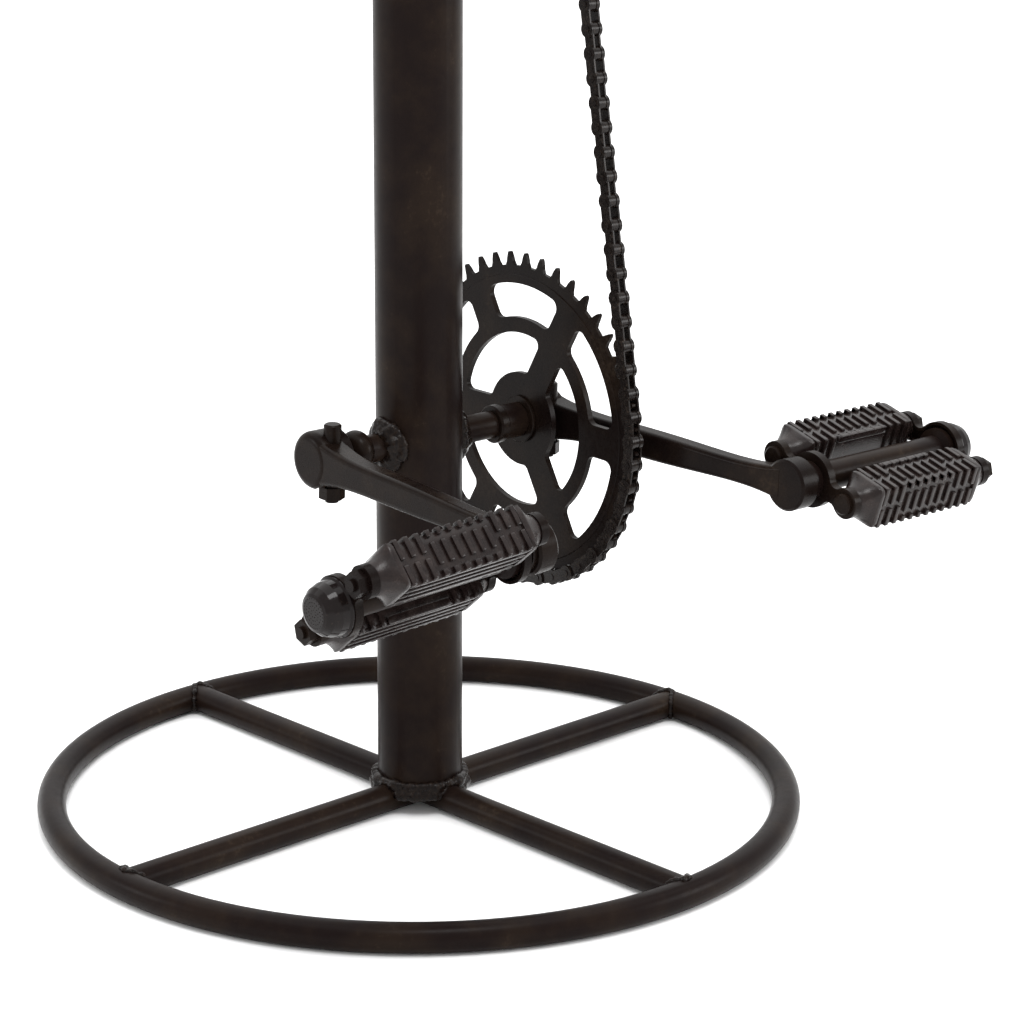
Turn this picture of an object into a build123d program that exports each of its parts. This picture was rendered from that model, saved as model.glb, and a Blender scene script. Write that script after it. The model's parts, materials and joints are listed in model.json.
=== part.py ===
"""Pedal bar stool: ring base, column, chain drive with cranks and pedals, and a sprung saddle.

Millimetres. The origin is on the floor at the centre of the base ring, +Z is up, +X is the way
the cranks point, and +Y runs along the crank axle towards the chainring.
"""

import os
from math import asin, cos, degrees, pi, radians, sin, sqrt, tan

from build123d import *

# Base and column
BAR_RADIUS = 7.75
BASE_RING_RADIUS = 201.5
CROSS_TURN = 3.0
COLUMN_RADIUS = 23.2
COLUMN_BORE_RADIUS = 20.0
COLUMN_FOOT = 11.0
COLUMN_TOP = 590.0

# Crank axle and its housing
AXLE_HEIGHT = 206.0
AXLE_RADIUS = 6.0
RUNNING_CLEARANCE = 0.05
SIDE_CLEARANCE = 0.3
HOUSING_RADIUS = 7.5
HOUSING_LEFT = -36.0
HOUSING_RIGHT = 49.7

# Chain and sprockets
CHAIN_PITCH = 12.7
CHAIN_LINKS = 84
CHAIN_LINE = 73.1
ROLLER_RADIUS = 3.9
PIN_RADIUS = 1.8
PLATE_END_RADIUS = 4.3
PLATE_WAIST = 6.4
INNER_WIDTH = 3.4
CHAIN_PLATE = 0.95
CHAIN_GAP = 0.1
RIVET_STAND = 0.35
CHAINRING_TEETH = 44
CHAINRING_GAP_ANGLE = 2.8
LOOP_TILT = 1.35
TOP_TEETH = 20
TOOTH_THICKNESS = 2.2
CHAINRING_THICKNESS = 3.2
CHAINRING_BODY_RADIUS = 80.0
RIM_INNER_RADIUS = 75.2
INNER_RING_OUTER = 56.5
INNER_RING_INNER = 48.1
HUB_RADIUS = 26.0
ARM_WIDTH = 17.5

# Cranks
CRANK_LENGTH = 175.0
CRANK_DROP = 2.0
BOSS_RADIUS = 15.5
BOSS_COVER = 3.0
BOSS_ROUNDING = 5.0
RIM_EASE = 1.2
FACE_STEP = 0.8
EYE_RADIUS = 13.6
EYE_THICKNESS = 12.0
ARM_ROUNDING = 2.8
LEFT_BOSS = (54.0, 74.0)
RIGHT_BOSS = (CHAIN_LINE + CHAINRING_THICKNESS / 2, 95.5)
LEFT_EYE_INNER = 66.5
RIGHT_EYE_INNER = 99.0
COTTER_RADIUS = 4.7
COTTER_OFFSET = 7.7
COTTER_TOP = 20.5
COTTER_SEAT = 13.0
COTTER_NUT_FLATS = 12.0
COTTER_NUT_HEIGHT = 6.5
COTTER_THREAD_RADIUS = 3.5
COTTER_SPOT_RADIUS = 8.4

# Pedals, measured outwards from the crank eye's outer face
SPINDLE_THREAD_RADIUS = 6.5
SPINDLE_THREAD_DEPTH = 9.0
SPINDLE_RADIUS = 5.0
BARREL_RADIUS = 7.8
PEDAL_CUP_RADIUS = 11.5
PLATE_START = 6.5
PEDAL_LENGTH = 104.0
PLATE_WEB = 1.8
PLATE_DEPTH = 4.5
PLATE_BULGE_RADIUS = 14.7
PLATE_TIP_RADIUS = 8.0
PLATE_NECK = 9.0
BLOCK_OFFSET = 26.0
BLOCK_SIZE = 24.0
BLOCK_CORE = 20.6
BLOCK_TAPER = 13.0
BLOCK_TIP_RADIUS = 7.6
RIB_COUNT = 11
RIB_THICKNESS = 3.7
BLOCK_BOLT_RADIUS = 3.0
BOLT_HEAD_RADIUS = 5.6
BLOCK_NUT_FLATS = 11.0
BLOCK_NUT_HEIGHT = 5.2
CAP_LENGTH = 12.8
CAP_FLANGE_RADIUS = 14.2
CAP_END_RADIUS = 7.6
CAP_BORE_RADIUS = 10.6
LEFT_PEDAL_TURN = -39.0
LEFT_PEDAL_DROOP = 3.3
RIGHT_PEDAL_DROOP = 0.0
RIGHT_PEDAL_TURN = 17.0

# Top sprocket bracket
STUB_SHOULDER_RADIUS = 9.0
STUB_RADIUS = 6.0
HUB_HALF_LENGTH = 6.0
TOP_HUB_RADIUS = 14.0
STUB_NUT_FLATS = 19.0
STUB_NUT_HEIGHT = 7.0
TOP_HOLES = 6
TOP_HOLE_RADIUS = 4.2
TOP_HOLE_CIRCLE = 23.0

# Seat collar, post and saddle
POST_BOTTOM = 440.0
POST_TOP = 655.0
POST_RADIUS = COLUMN_BORE_RADIUS - RUNNING_CLEARANCE
POST_WALL = 3.0
COLLAR_RADIUS = 29.0
COLLAR_SKIRT = 14.0
COLLAR_HEIGHT = 16.0
COLLAR_SLOT = 3.0
LUG_REACH = 14.0
LUG_WIDTH = 23.0
COLLAR_BOLT_RADIUS = 4.0
RAIL_RADIUS = 3.6
RAIL_SPREAD = 22.0
RAIL_HEIGHT = POST_TOP + 14.0
CLAMP_LENGTH = 44.0
CLAMP_WIDTH = 62.0
SPRING_RADIUS = 15.0
SPRING_WIRE = 2.4
SPRING_TURNS = 4
SPRING_HEIGHT = 38.0
SPRING_PLACE = (-88.0, 56.0)
SPRING_START = -35.0
LEATHER = 4.0
CANTLE_LENGTH = 40.0
CANTLE_THICKNESS = 3.0
NOSE_BRIDGE = (12.0, 30.0, 12.0)
SADDLE_TOP = 752.0
NOSE_PLACE = 118.0
NOSE_SPREAD = 9.0
NOSE_HEIGHT = SADDLE_TOP - 42.0
RAIL_RUN = 38.0
RAIL_BEND = 16.0

PARTS = "parts"


def save(part, name):
    """Label a finished piece and write its STEP file."""
    part.label = name
    export_step(part, os.path.join(PARTS, name + ".step"))


def turned(corners):
    """Solid of revolution about the Y axis from (radius, y) corners."""
    with BuildPart() as body:
        with BuildSketch(Plane.XY):
            with BuildLine():
                Polyline(*corners, close=True)
            make_face()
        revolve(axis=Axis.Y)
    return body.part


def eased_disc(radius, start, end, ease):
    """Short solid disc about the Y axis with both rims eased."""
    return turned([
        (0, start),
        (radius - ease, start),
        (radius, start + ease),
        (radius, end - ease),
        (radius - ease, end),
        (0, end),
    ])


def turned_upright(corners):
    """Solid of revolution about the Z axis from (radius, z) corners."""
    with BuildPart() as body:
        with BuildSketch(Plane.XZ):
            with BuildLine():
                Polyline(*corners, close=True)
            make_face()
        revolve(axis=Axis.Z)
    return body.part


def side_plane(y):
    """Plane facing -Y at the given Y, so its own X is world X and its own Y is world Z."""
    return Plane(origin=(0, y, 0), x_dir=(1, 0, 0), z_dir=(0, -1, 0))


def hex_nut(flats, height, bore, plane):
    """Hexagonal nut standing on a plane."""
    corner_radius = flats / sqrt(3)
    with BuildPart() as nut:
        with BuildSketch(plane):
            RegularPolygon(corner_radius, 6)
            Circle(bore, mode=Mode.SUBTRACT)
        extrude(amount=height)
    return nut.part


# ---------------------------------------------------------------- base and column


def bar(start, end, plane):
    """Straight round bar between two distances along a plane's normal."""
    with BuildPart() as body:
        with BuildSketch(plane.offset(start)):
            Circle(BAR_RADIUS)
        extrude(amount=end - start)
    return body.part


def base_ring():
    """Floor ring bent from round bar."""
    with BuildPart() as ring:
        with BuildSketch(Plane.XZ):
            with Locations((BASE_RING_RADIUS, BAR_RADIUS)):
                Circle(BAR_RADIUS)
        revolve(axis=Axis.Z)
    return ring.part


def cross_plane(turn):
    """Plane through the bars' level whose normal points outwards at an angle from +Y."""
    angle = radians(90 + CROSS_TURN + turn)
    return Plane(origin=(0, 0, BAR_RADIUS), x_dir=(0, 0, 1), z_dir=(cos(angle), sin(angle), 0))


def cross_bars(ring):
    """The through bar and the two half bars, coped to the ring and to each other."""
    through = bar(-BASE_RING_RADIUS, BASE_RING_RADIUS, cross_plane(0)) - ring
    halves = []
    for turn in (90, -90):
        half = bar(0, BASE_RING_RADIUS, cross_plane(turn)) - ring - through
        halves.append(half.solids().sort_by(SortBy.VOLUME)[-1])
    middle = through.solids().sort_by(SortBy.VOLUME)[-1]
    return Part() + middle, Part() + halves[0], Part() + halves[1]


def column(bars):
    """Upright tube, coped over the crossing and drilled for the axle housing."""
    with BuildPart() as tube:
        with BuildSketch(Plane.XY.offset(COLUMN_FOOT)):
            Circle(COLUMN_RADIUS)
            Circle(COLUMN_BORE_RADIUS, mode=Mode.SUBTRACT)
        extrude(amount=COLUMN_TOP - COLUMN_FOOT)
        with BuildSketch(side_plane(COLUMN_RADIUS + 1)):
            with Locations((0, AXLE_HEIGHT)):
                Circle(HOUSING_RADIUS)
        extrude(amount=2 * COLUMN_RADIUS + 2, mode=Mode.SUBTRACT)
        add(bars, mode=Mode.SUBTRACT)
    return tube.part


def axle_housing():
    """Bearing tube that crosses the column at axle height."""
    bore = AXLE_RADIUS + RUNNING_CLEARANCE
    corners = [
        (bore, HOUSING_LEFT),
        (HOUSING_RADIUS, HOUSING_LEFT),
        (HOUSING_RADIUS, HOUSING_RIGHT),
        (bore, HOUSING_RIGHT),
    ]
    return Pos(0, 0, AXLE_HEIGHT) * turned(corners)


# ---------------------------------------------------------------- chain path


def pitch_radius(teeth):
    """Radius on which a tooth spacing of one chain pitch fits along the arc."""
    return teeth * CHAIN_PITCH / (2 * pi)


def loop_length(centre_distance):
    """Length of the chain line round both sprockets."""
    big = pitch_radius(CHAINRING_TEETH)
    small = pitch_radius(TOP_TEETH)
    lean = asin((big - small) / centre_distance)
    straight = centre_distance * cos(lean)
    return 2 * straight + (pi + 2 * lean) * big + (pi - 2 * lean) * small


def solve_centre_distance():
    """Centre distance at which the chain closes with its whole number of links."""
    wanted = CHAIN_LINKS * CHAIN_PITCH
    low = pitch_radius(CHAINRING_TEETH)
    high = wanted
    for _ in range(60):
        middle = (low + high) / 2
        if loop_length(middle) < wanted:
            low = middle
        else:
            high = middle
    return (low + high) / 2


CENTRE_DISTANCE = solve_centre_distance()
TOP_HEIGHT = AXLE_HEIGHT + CENTRE_DISTANCE
BIG_PITCH_RADIUS = pitch_radius(CHAINRING_TEETH)
SMALL_PITCH_RADIUS = pitch_radius(TOP_TEETH)
LEAN = asin((BIG_PITCH_RADIUS - SMALL_PITCH_RADIUS) / CENTRE_DISTANCE)
STRAIGHT = CENTRE_DISTANCE * cos(LEAN)
TOP_ARC = (pi - 2 * LEAN) * SMALL_PITCH_RADIUS
FIRST_PIN = (radians(CHAINRING_GAP_ANGLE - LOOP_TILT) - LEAN) * BIG_PITCH_RADIUS
LOOP_PLACE = Pos(0, 0, AXLE_HEIGHT) * Rot(0, -LOOP_TILT, 0) * Pos(0, 0, -AXLE_HEIGHT)
TOP_PLACE = LOOP_PLACE * Pos(0, 0, TOP_HEIGHT)


def chain_point(travel):
    """Point (x, z) on the chain line, measured up from where it leaves the chainring's front."""
    if travel < 0:
        angle = LEAN + travel / BIG_PITCH_RADIUS
        return BIG_PITCH_RADIUS * cos(angle), AXLE_HEIGHT + BIG_PITCH_RADIUS * sin(angle)
    if travel < STRAIGHT:
        x = BIG_PITCH_RADIUS * cos(LEAN) - travel * sin(LEAN)
        return x, AXLE_HEIGHT + BIG_PITCH_RADIUS * sin(LEAN) + travel * cos(LEAN)
    travel -= STRAIGHT
    if travel < TOP_ARC:
        angle = LEAN + travel / SMALL_PITCH_RADIUS
        return SMALL_PITCH_RADIUS * cos(angle), TOP_HEIGHT + SMALL_PITCH_RADIUS * sin(angle)
    travel -= TOP_ARC
    if travel < STRAIGHT:
        x = -SMALL_PITCH_RADIUS * cos(LEAN) - travel * sin(LEAN)
        return x, TOP_HEIGHT + SMALL_PITCH_RADIUS * sin(LEAN) - travel * cos(LEAN)
    angle = pi - LEAN + (travel - STRAIGHT) / BIG_PITCH_RADIUS
    return BIG_PITCH_RADIUS * cos(angle), AXLE_HEIGHT + BIG_PITCH_RADIUS * sin(angle)


def link_places(first):
    """Locations of every second link, from pin to pin along the chain line."""
    places = []
    for index in range(first, CHAIN_LINKS, 2):
        x0, z0 = chain_point(FIRST_PIN + index * CHAIN_PITCH)
        x1, z1 = chain_point(FIRST_PIN + ((index + 1) % CHAIN_LINKS) * CHAIN_PITCH)
        length = sqrt((x1 - x0) ** 2 + (z1 - z0) ** 2)
        middle = ((x0 + x1) / 2, CHAIN_LINE, (z0 + z1) / 2)
        across = ((x1 - x0) / length, 0, (z1 - z0) / length)
        upright = Plane(origin=middle, x_dir=across, z_dir=(0, 1, 0)).location
        places.append(LOOP_PLACE * upright)
    return places


def link_outline(hole):
    """Waisted plate outline with its two holes, drawn in the current sketch."""
    with GridLocations(CHAIN_PITCH, 0, 2, 1):
        Circle(PLATE_END_RADIUS)
    Rectangle(CHAIN_PITCH, PLATE_WAIST)
    with GridLocations(CHAIN_PITCH, 0, 2, 1):
        Circle(hole, mode=Mode.SUBTRACT)


def inner_link():
    """Two inner plates joined by their bushes and rollers."""
    inside = INNER_WIDTH / 2
    bore = PIN_RADIUS + CHAIN_GAP
    with BuildPart() as link:
        for start in (inside, -inside - CHAIN_PLATE):
            with BuildSketch(Plane.XY.offset(start)):
                link_outline(bore)
            extrude(amount=CHAIN_PLATE)
        with BuildSketch(Plane.XY.offset(-inside)):
            with GridLocations(CHAIN_PITCH, 0, 2, 1):
                Circle(ROLLER_RADIUS)
                Circle(bore, mode=Mode.SUBTRACT)
        extrude(amount=INNER_WIDTH)
    return link.part


def outer_link():
    """Two outer plates joined by their pins."""
    inside = INNER_WIDTH / 2 + CHAIN_PLATE + CHAIN_GAP
    half_width = inside + CHAIN_PLATE + RIVET_STAND
    with BuildPart() as link:
        for start in (inside, -inside - CHAIN_PLATE):
            with BuildSketch(Plane.XY.offset(start)):
                link_outline(PIN_RADIUS / 2)
            extrude(amount=CHAIN_PLATE)
        with BuildSketch(Plane.XY.offset(-half_width)):
            with GridLocations(CHAIN_PITCH, 0, 2, 1):
                Circle(PIN_RADIUS)
        extrude(amount=2 * half_width)
    return link.part


# ---------------------------------------------------------------- sprockets


def toothed_disc(teeth, gap_angle, y_middle):
    """Toothed plate of one sprocket, centred on its own axis."""
    radius = pitch_radius(teeth)
    root = radius - ROLLER_RADIUS - 0.15
    # One flank of a tooth: distance beyond the pitch radius and half thickness there
    flank = [(-4.3, 3.6), (-1.95, 2.4), (0.0, 1.95), (2.4, 1.1), (3.36, 0.55)]
    corners = [(radius + out, half) for out, half in flank]
    corners += [(radius + out, -half) for out, half in reversed(flank)]
    step = 360 / teeth
    with BuildPart() as disc:
        with BuildSketch(side_plane(y_middle + TOOTH_THICKNESS / 2)):
            Circle(root)
            with PolarLocations(0, teeth, start_angle=gap_angle + step / 2):
                Polygon(*corners, align=None)
        extrude(amount=TOOTH_THICKNESS)
    return disc.part


def chainring_windows(outer, inner, count, start_angle, corner):
    """Sketch the ring of windows left between arms of constant width."""
    with BuildSketch(side_plane(CHAIN_LINE + CHAINRING_THICKNESS)) as windows:
        Circle(outer)
        Circle(inner, mode=Mode.SUBTRACT)
        with PolarLocations((outer + inner) / 2, count, start_angle=start_angle):
            Rectangle(outer, ARM_WIDTH, mode=Mode.SUBTRACT)
        fillet(windows.vertices(), corner)
    return windows.sketch


def chainring():
    """Chainring with six outer arms, three inner arms and a plain hub disc."""
    half = CHAINRING_THICKNESS / 2
    teeth = toothed_disc(CHAINRING_TEETH, CHAINRING_GAP_ANGLE, CHAIN_LINE)
    web = eased_disc(CHAINRING_BODY_RADIUS, CHAIN_LINE - half, CHAIN_LINE + half, 0.4)
    outer_windows = chainring_windows(RIM_INNER_RADIUS, INNER_RING_OUTER, 6, -1, 5.0)
    inner_windows = chainring_windows(INNER_RING_INNER, HUB_RADIUS, 3, 60, 4.0)
    with BuildPart() as ring:
        add(teeth)
        add(web)
        extrude(outer_windows, amount=3 * CHAINRING_THICKNESS, mode=Mode.SUBTRACT)
        extrude(inner_windows, amount=3 * CHAINRING_THICKNESS, mode=Mode.SUBTRACT)
        with BuildSketch(side_plane(CHAIN_LINE + CHAINRING_THICKNESS)):
            Circle(AXLE_RADIUS)
        extrude(amount=3 * CHAINRING_THICKNESS, mode=Mode.SUBTRACT)
    return Pos(0, 0, AXLE_HEIGHT) * ring.part


def top_sprocket():
    """Small sprocket that runs on the stub axle under the seat."""
    top_gap = degrees(LEAN + ((FIRST_PIN - STRAIGHT) % CHAIN_PITCH) / SMALL_PITCH_RADIUS)
    bore = STUB_RADIUS + RUNNING_CLEARANCE
    teeth = toothed_disc(TOP_TEETH, top_gap, CHAIN_LINE)
    with BuildPart() as sprocket:
        add(teeth)
        with BuildSketch(side_plane(CHAIN_LINE + HUB_HALF_LENGTH)):
            Circle(TOP_HUB_RADIUS)
        extrude(amount=2 * HUB_HALF_LENGTH)
        with BuildSketch(side_plane(CHAIN_LINE + TOOTH_THICKNESS)):
            with PolarLocations(TOP_HOLE_CIRCLE, TOP_HOLES):
                Circle(TOP_HOLE_RADIUS)
        extrude(amount=2 * TOOTH_THICKNESS, mode=Mode.SUBTRACT)
        with BuildSketch(side_plane(CHAIN_LINE + HUB_HALF_LENGTH)):
            Circle(bore)
        extrude(amount=2 * HUB_HALF_LENGTH, mode=Mode.SUBTRACT)
    return TOP_PLACE * sprocket.part


def stub_axle():
    """Shouldered stub welded to the column that carries the top sprocket."""
    hub_start = CHAIN_LINE - HUB_HALF_LENGTH - SIDE_CLEARANCE
    hub_end = CHAIN_LINE + HUB_HALF_LENGTH + SIDE_CLEARANCE
    tip = hub_end + STUB_NUT_HEIGHT + 3
    corners = [
        (0, 0),
        (STUB_SHOULDER_RADIUS, 0),
        (STUB_SHOULDER_RADIUS, hub_start),
        (STUB_RADIUS, hub_start),
        (STUB_RADIUS, tip - 1),
        (STUB_RADIUS - 1, tip),
        (0, tip),
    ]
    shaft = turned(corners)
    with BuildPart() as stub:
        add(TOP_PLACE * shaft)
        with Locations((0, 0, TOP_HEIGHT)):
            Cylinder(COLUMN_RADIUS, 6 * STUB_SHOULDER_RADIUS, mode=Mode.SUBTRACT)
    nut_plane = Plane(origin=(0, hub_end, 0), x_dir=(1, 0, 0), z_dir=(0, 1, 0))
    nut = hex_nut(STUB_NUT_FLATS, STUB_NUT_HEIGHT, STUB_RADIUS, nut_plane)
    return stub.part, TOP_PLACE * nut


# ---------------------------------------------------------------- crankset


CRANK_PLACE = Pos(0, 0, AXLE_HEIGHT) * Rot(0, CRANK_DROP, 0)


def cotter_places():
    """The two cotter positions along the axle, as signed Y values."""
    return -sum(LEFT_BOSS) / 2, sum(RIGHT_BOSS) / 2


def cotter_pin(y):
    """Wedge pin that locks a crank boss on the axle, in the crank's own frame."""
    with BuildPart() as pin:
        with BuildSketch(Plane.XY.offset(-COTTER_SEAT)):
            with Locations((COTTER_OFFSET, y)):
                Circle(COTTER_RADIUS)
        extrude(amount=COTTER_SEAT + COTTER_TOP)
        chamfer(pin.edges().group_by(Axis.Z)[-1], 0.8)
        with BuildSketch(Plane.XY.offset(-COTTER_SEAT - COTTER_NUT_HEIGHT - 2)):
            with Locations((COTTER_OFFSET, y)):
                Circle(COTTER_THREAD_RADIUS)
        extrude(amount=COTTER_NUT_HEIGHT + 2)
    return pin.part


def cotter_nut(y):
    """Nut under a cotter pin, in the crank's own frame."""
    plane = Plane(origin=(COTTER_OFFSET, y, -COTTER_SEAT), x_dir=(1, 0, 0), z_dir=(0, 0, -1))
    return hex_nut(COTTER_NUT_FLATS, COTTER_NUT_HEIGHT, COTTER_THREAD_RADIUS, plane)


def crank_axle(pins):
    """Axle rod, notched where the cotter pins bear on it."""
    left = -LEFT_BOSS[1] + BOSS_COVER
    right = RIGHT_BOSS[1] - BOSS_COVER
    rod = turned([(0, left), (AXLE_RADIUS, left), (AXLE_RADIUS, right), (0, right)])
    with BuildPart() as axle:
        add(rod)
        add(pins, mode=Mode.SUBTRACT)
    return axle.part


def crank_boss(start, end):
    """Solid boss about the Y axis with a well rounded outer rim."""
    reach = BOSS_RADIUS - BOSS_ROUNDING
    with BuildPart() as body:
        with BuildSketch(Plane.XY):
            with BuildLine():
                Polyline(
                    (reach, end),
                    (0, end),
                    (0, start),
                    (BOSS_RADIUS - RIM_EASE, start),
                    (BOSS_RADIUS, start + RIM_EASE),
                    (BOSS_RADIUS, end - BOSS_ROUNDING),
                )
                CenterArc((reach, end - BOSS_ROUNDING), BOSS_ROUNDING, 0, 90)
            make_face()
        revolve(axis=Axis.Y)
    return body.part


def arm_sections(boss_length):
    """Stations along the arm: distance from the axle, height and thickness."""
    return [
        (2.0, 27.0, boss_length - 2.0),
        (22.0, 18.5, 14.0),
        (90.0, 15.0, 11.5),
        (CRANK_LENGTH - 26.0, 13.2, 11.0),
        (CRANK_LENGTH - 4.0, 19.0, 11.0),
    ]


def crank(boss, eye_inner, pin, droop):
    """Crank in its own frame: boss at the origin, arm along +X, outwards is +Y."""
    boss_inner, boss_outer = boss
    eye_outer = eye_inner + EYE_THICKNESS
    boss_middle = (boss_inner + boss_outer) / 2
    round_boss = crank_boss(boss_inner, boss_outer)
    eye_face = Pos(CRANK_LENGTH, eye_outer, 0) * Rot(-droop, 0, 0)
    eye_disc = eye_face * eased_disc(EYE_RADIUS, -EYE_THICKNESS, 0, RIM_EASE)
    thread = eye_face * eased_disc(SPINDLE_THREAD_RADIUS, -SPINDLE_THREAD_DEPTH, 1, 0.01)
    with BuildPart() as body:
        for reach, height, thickness in arm_sections(boss_outer - boss_inner):
            face = boss_outer - FACE_STEP + (eye_outer - boss_outer) * reach / CRANK_LENGTH
            place = Plane(origin=(reach, face - thickness / 2, 0), x_dir=(0, 1, 0), z_dir=(1, 0, 0))
            with BuildSketch(place):
                RectangleRounded(thickness, height, ARM_ROUNDING)
        loft()
        add(round_boss)
        add(eye_disc)
        with BuildSketch(side_plane(boss_outer - BOSS_COVER)):
            Circle(AXLE_RADIUS)
        extrude(amount=boss_outer - boss_inner, mode=Mode.SUBTRACT)
        add(thread, mode=Mode.SUBTRACT)
        with BuildSketch(Plane.XY.offset(-COTTER_SEAT)):
            with Locations((COTTER_OFFSET, boss_middle)):
                Circle(COTTER_SPOT_RADIUS)
        extrude(amount=-BOSS_RADIUS, mode=Mode.SUBTRACT)
        add(pin, mode=Mode.SUBTRACT)
    return body.part


def lock_ring_left():
    """Rounded collar between the housing and the left crank."""
    inner_end = HOUSING_LEFT - SIDE_CLEARANCE
    width = 12.0
    radius = 11.5
    with BuildPart() as ring:
        with BuildSketch(Plane.XY):
            with Locations((radius - width / 2, inner_end - width / 2)):
                Circle(width / 2)
            with Locations(((radius - width / 2 + AXLE_RADIUS) / 2 - 0.5, inner_end - width / 2)):
                Rectangle(radius - width / 2 - AXLE_RADIUS + 1, width)
            with Locations((AXLE_RADIUS / 2, inner_end - width / 2)):
                Rectangle(AXLE_RADIUS, width + 2, mode=Mode.SUBTRACT)
            with Locations((-radius, inner_end - width / 2)):
                Rectangle(2 * radius, width + 2, mode=Mode.SUBTRACT)
        revolve(axis=Axis.Y)
    return ring.part


def sleeve(radius, start, end, ease):
    """Plain turned ring on the axle with eased outer corners."""
    corners = [
        (AXLE_RADIUS, start),
        (radius - ease, start),
        (radius, start + ease),
        (radius, end - ease),
        (radius - ease, end),
        (AXLE_RADIUS, end),
    ]
    return turned(corners)


# ---------------------------------------------------------------- pedals


def pedal_spindle():
    """Spindle screwed into the crank eye; outwards is +Y from the eye's face."""
    tip = PLATE_START + PEDAL_LENGTH + 6
    corners = [
        (0, -SPINDLE_THREAD_DEPTH),
        (SPINDLE_THREAD_RADIUS, -SPINDLE_THREAD_DEPTH),
        (SPINDLE_THREAD_RADIUS, 0),
        (EYE_RADIUS - 2.6, 0),
        (EYE_RADIUS - 2.6, 2.4),
        (SPINDLE_RADIUS, 2.4),
        (SPINDLE_RADIUS, tip),
        (0, tip),
    ]
    return turned(corners)


def pedal_barrel():
    """Centre tube with its bearing cups."""
    bore = SPINDLE_RADIUS + RUNNING_CLEARANCE
    outer_face = PLATE_START + PEDAL_LENGTH
    inner_start = PLATE_START + PLATE_WEB
    outer_start = outer_face - PLATE_WEB
    corners = [
        (bore, 2.8),
        (9.6, 2.8),
        (10.2, 3.4),
        (10.2, PLATE_START),
        (BARREL_RADIUS, PLATE_START),
        (BARREL_RADIUS, inner_start),
        (PEDAL_CUP_RADIUS, inner_start),
        (PEDAL_CUP_RADIUS, inner_start + 5),
        (BARREL_RADIUS, inner_start + 6.5),
        (BARREL_RADIUS, outer_start - 6.5),
        (PEDAL_CUP_RADIUS, outer_start - 5),
        (PEDAL_CUP_RADIUS, outer_start),
        (BARREL_RADIUS, outer_start),
        (BARREL_RADIUS, outer_face + 2),
        (bore, outer_face + 2),
    ]
    return turned(corners)


def plate_outline(inset):
    """Wavy plate outline: a centre bulge, two tips and the necks between, drawn in a sketch."""
    with BuildSketch() as outline:
        Circle(PLATE_BULGE_RADIUS - inset)
        with GridLocations(2 * BLOCK_OFFSET, 0, 2, 1):
            Circle(PLATE_TIP_RADIUS - inset)
        Rectangle(2 * BLOCK_OFFSET, PLATE_NECK - 2 * inset)
        fillet(outline.vertices(), 4.5 + inset)
    return outline.sketch


def pedal_plate(outer_face, inwards):
    """Pressed end plate whose rim turns towards the blocks; inwards is +1 or -1 along Y."""
    outside = Plane(origin=(0, outer_face, 0), x_dir=(1, 0, 0), z_dir=(0, inwards, 0))
    floor = outside.offset(PLATE_WEB)
    outline = plate_outline(0)
    pocket = plate_outline(1.6)
    with BuildPart() as plate:
        with BuildSketch(outside):
            add(outline)
        extrude(amount=PLATE_DEPTH)
        with BuildSketch(floor):
            add(pocket)
        extrude(amount=PLATE_DEPTH, mode=Mode.SUBTRACT)
        with BuildSketch(outside):
            Circle(BARREL_RADIUS)
            with GridLocations(2 * BLOCK_OFFSET, 0, 2, 1):
                Circle(BLOCK_BOLT_RADIUS)
        extrude(amount=PLATE_DEPTH, mode=Mode.SUBTRACT)
    return plate.part


def rubber_block(offset):
    """Ribbed rubber block round its bolt, at a signed distance from the barrel."""
    start = PLATE_START + PLATE_DEPTH
    end = PLATE_START + PEDAL_LENGTH - PLATE_DEPTH
    body_start = start + BLOCK_TAPER
    body_end = end - BLOCK_TAPER
    first_rib = body_start + RIB_THICKNESS / 2
    rib_pitch = (body_end - body_start - RIB_THICKNESS) / (RIB_COUNT - 1)
    with BuildPart() as block:
        with BuildSketch(side_plane(body_end)):
            with Locations((offset, 0)):
                RectangleRounded(BLOCK_CORE, BLOCK_CORE, 2.0)
        extrude(amount=body_end - body_start)
        for index in range(RIB_COUNT):
            middle = first_rib + index * rib_pitch
            with BuildSketch(side_plane(middle + RIB_THICKNESS / 2)):
                with Locations((offset, 0)):
                    RectangleRounded(BLOCK_SIZE, BLOCK_SIZE, 3.0)
            extrude(amount=RIB_THICKNESS)
        for tip, base in ((start, body_start), (end, body_end)):
            with BuildSketch(side_plane(tip)):
                with Locations((offset, 0)):
                    Circle(BLOCK_TIP_RADIUS)
            with BuildSketch(side_plane(base)):
                with Locations((offset, 0)):
                    Circle(BLOCK_CORE / 2)
            loft()
        with BuildSketch(side_plane(end)):
            with Locations((offset, 0)):
                Circle(BLOCK_BOLT_RADIUS)
        extrude(amount=end - start, mode=Mode.SUBTRACT)
    return block.part


def block_bolts():
    """The two bolts that run through the blocks and both plates."""
    outer_face = PLATE_START + PEDAL_LENGTH
    tip = outer_face + BLOCK_NUT_HEIGHT + 1.6
    corners = [
        (0, PLATE_START - 2.4),
        (BOLT_HEAD_RADIUS - 0.8, PLATE_START - 2.4),
        (BOLT_HEAD_RADIUS, PLATE_START - 1.6),
        (BOLT_HEAD_RADIUS, PLATE_START),
        (BLOCK_BOLT_RADIUS, PLATE_START),
        (BLOCK_BOLT_RADIUS, tip),
        (0, tip),
    ]
    bolt = turned(corners)
    return Part() + [Pos(side * BLOCK_OFFSET, 0, 0) * bolt for side in (-1, 1)]


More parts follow.
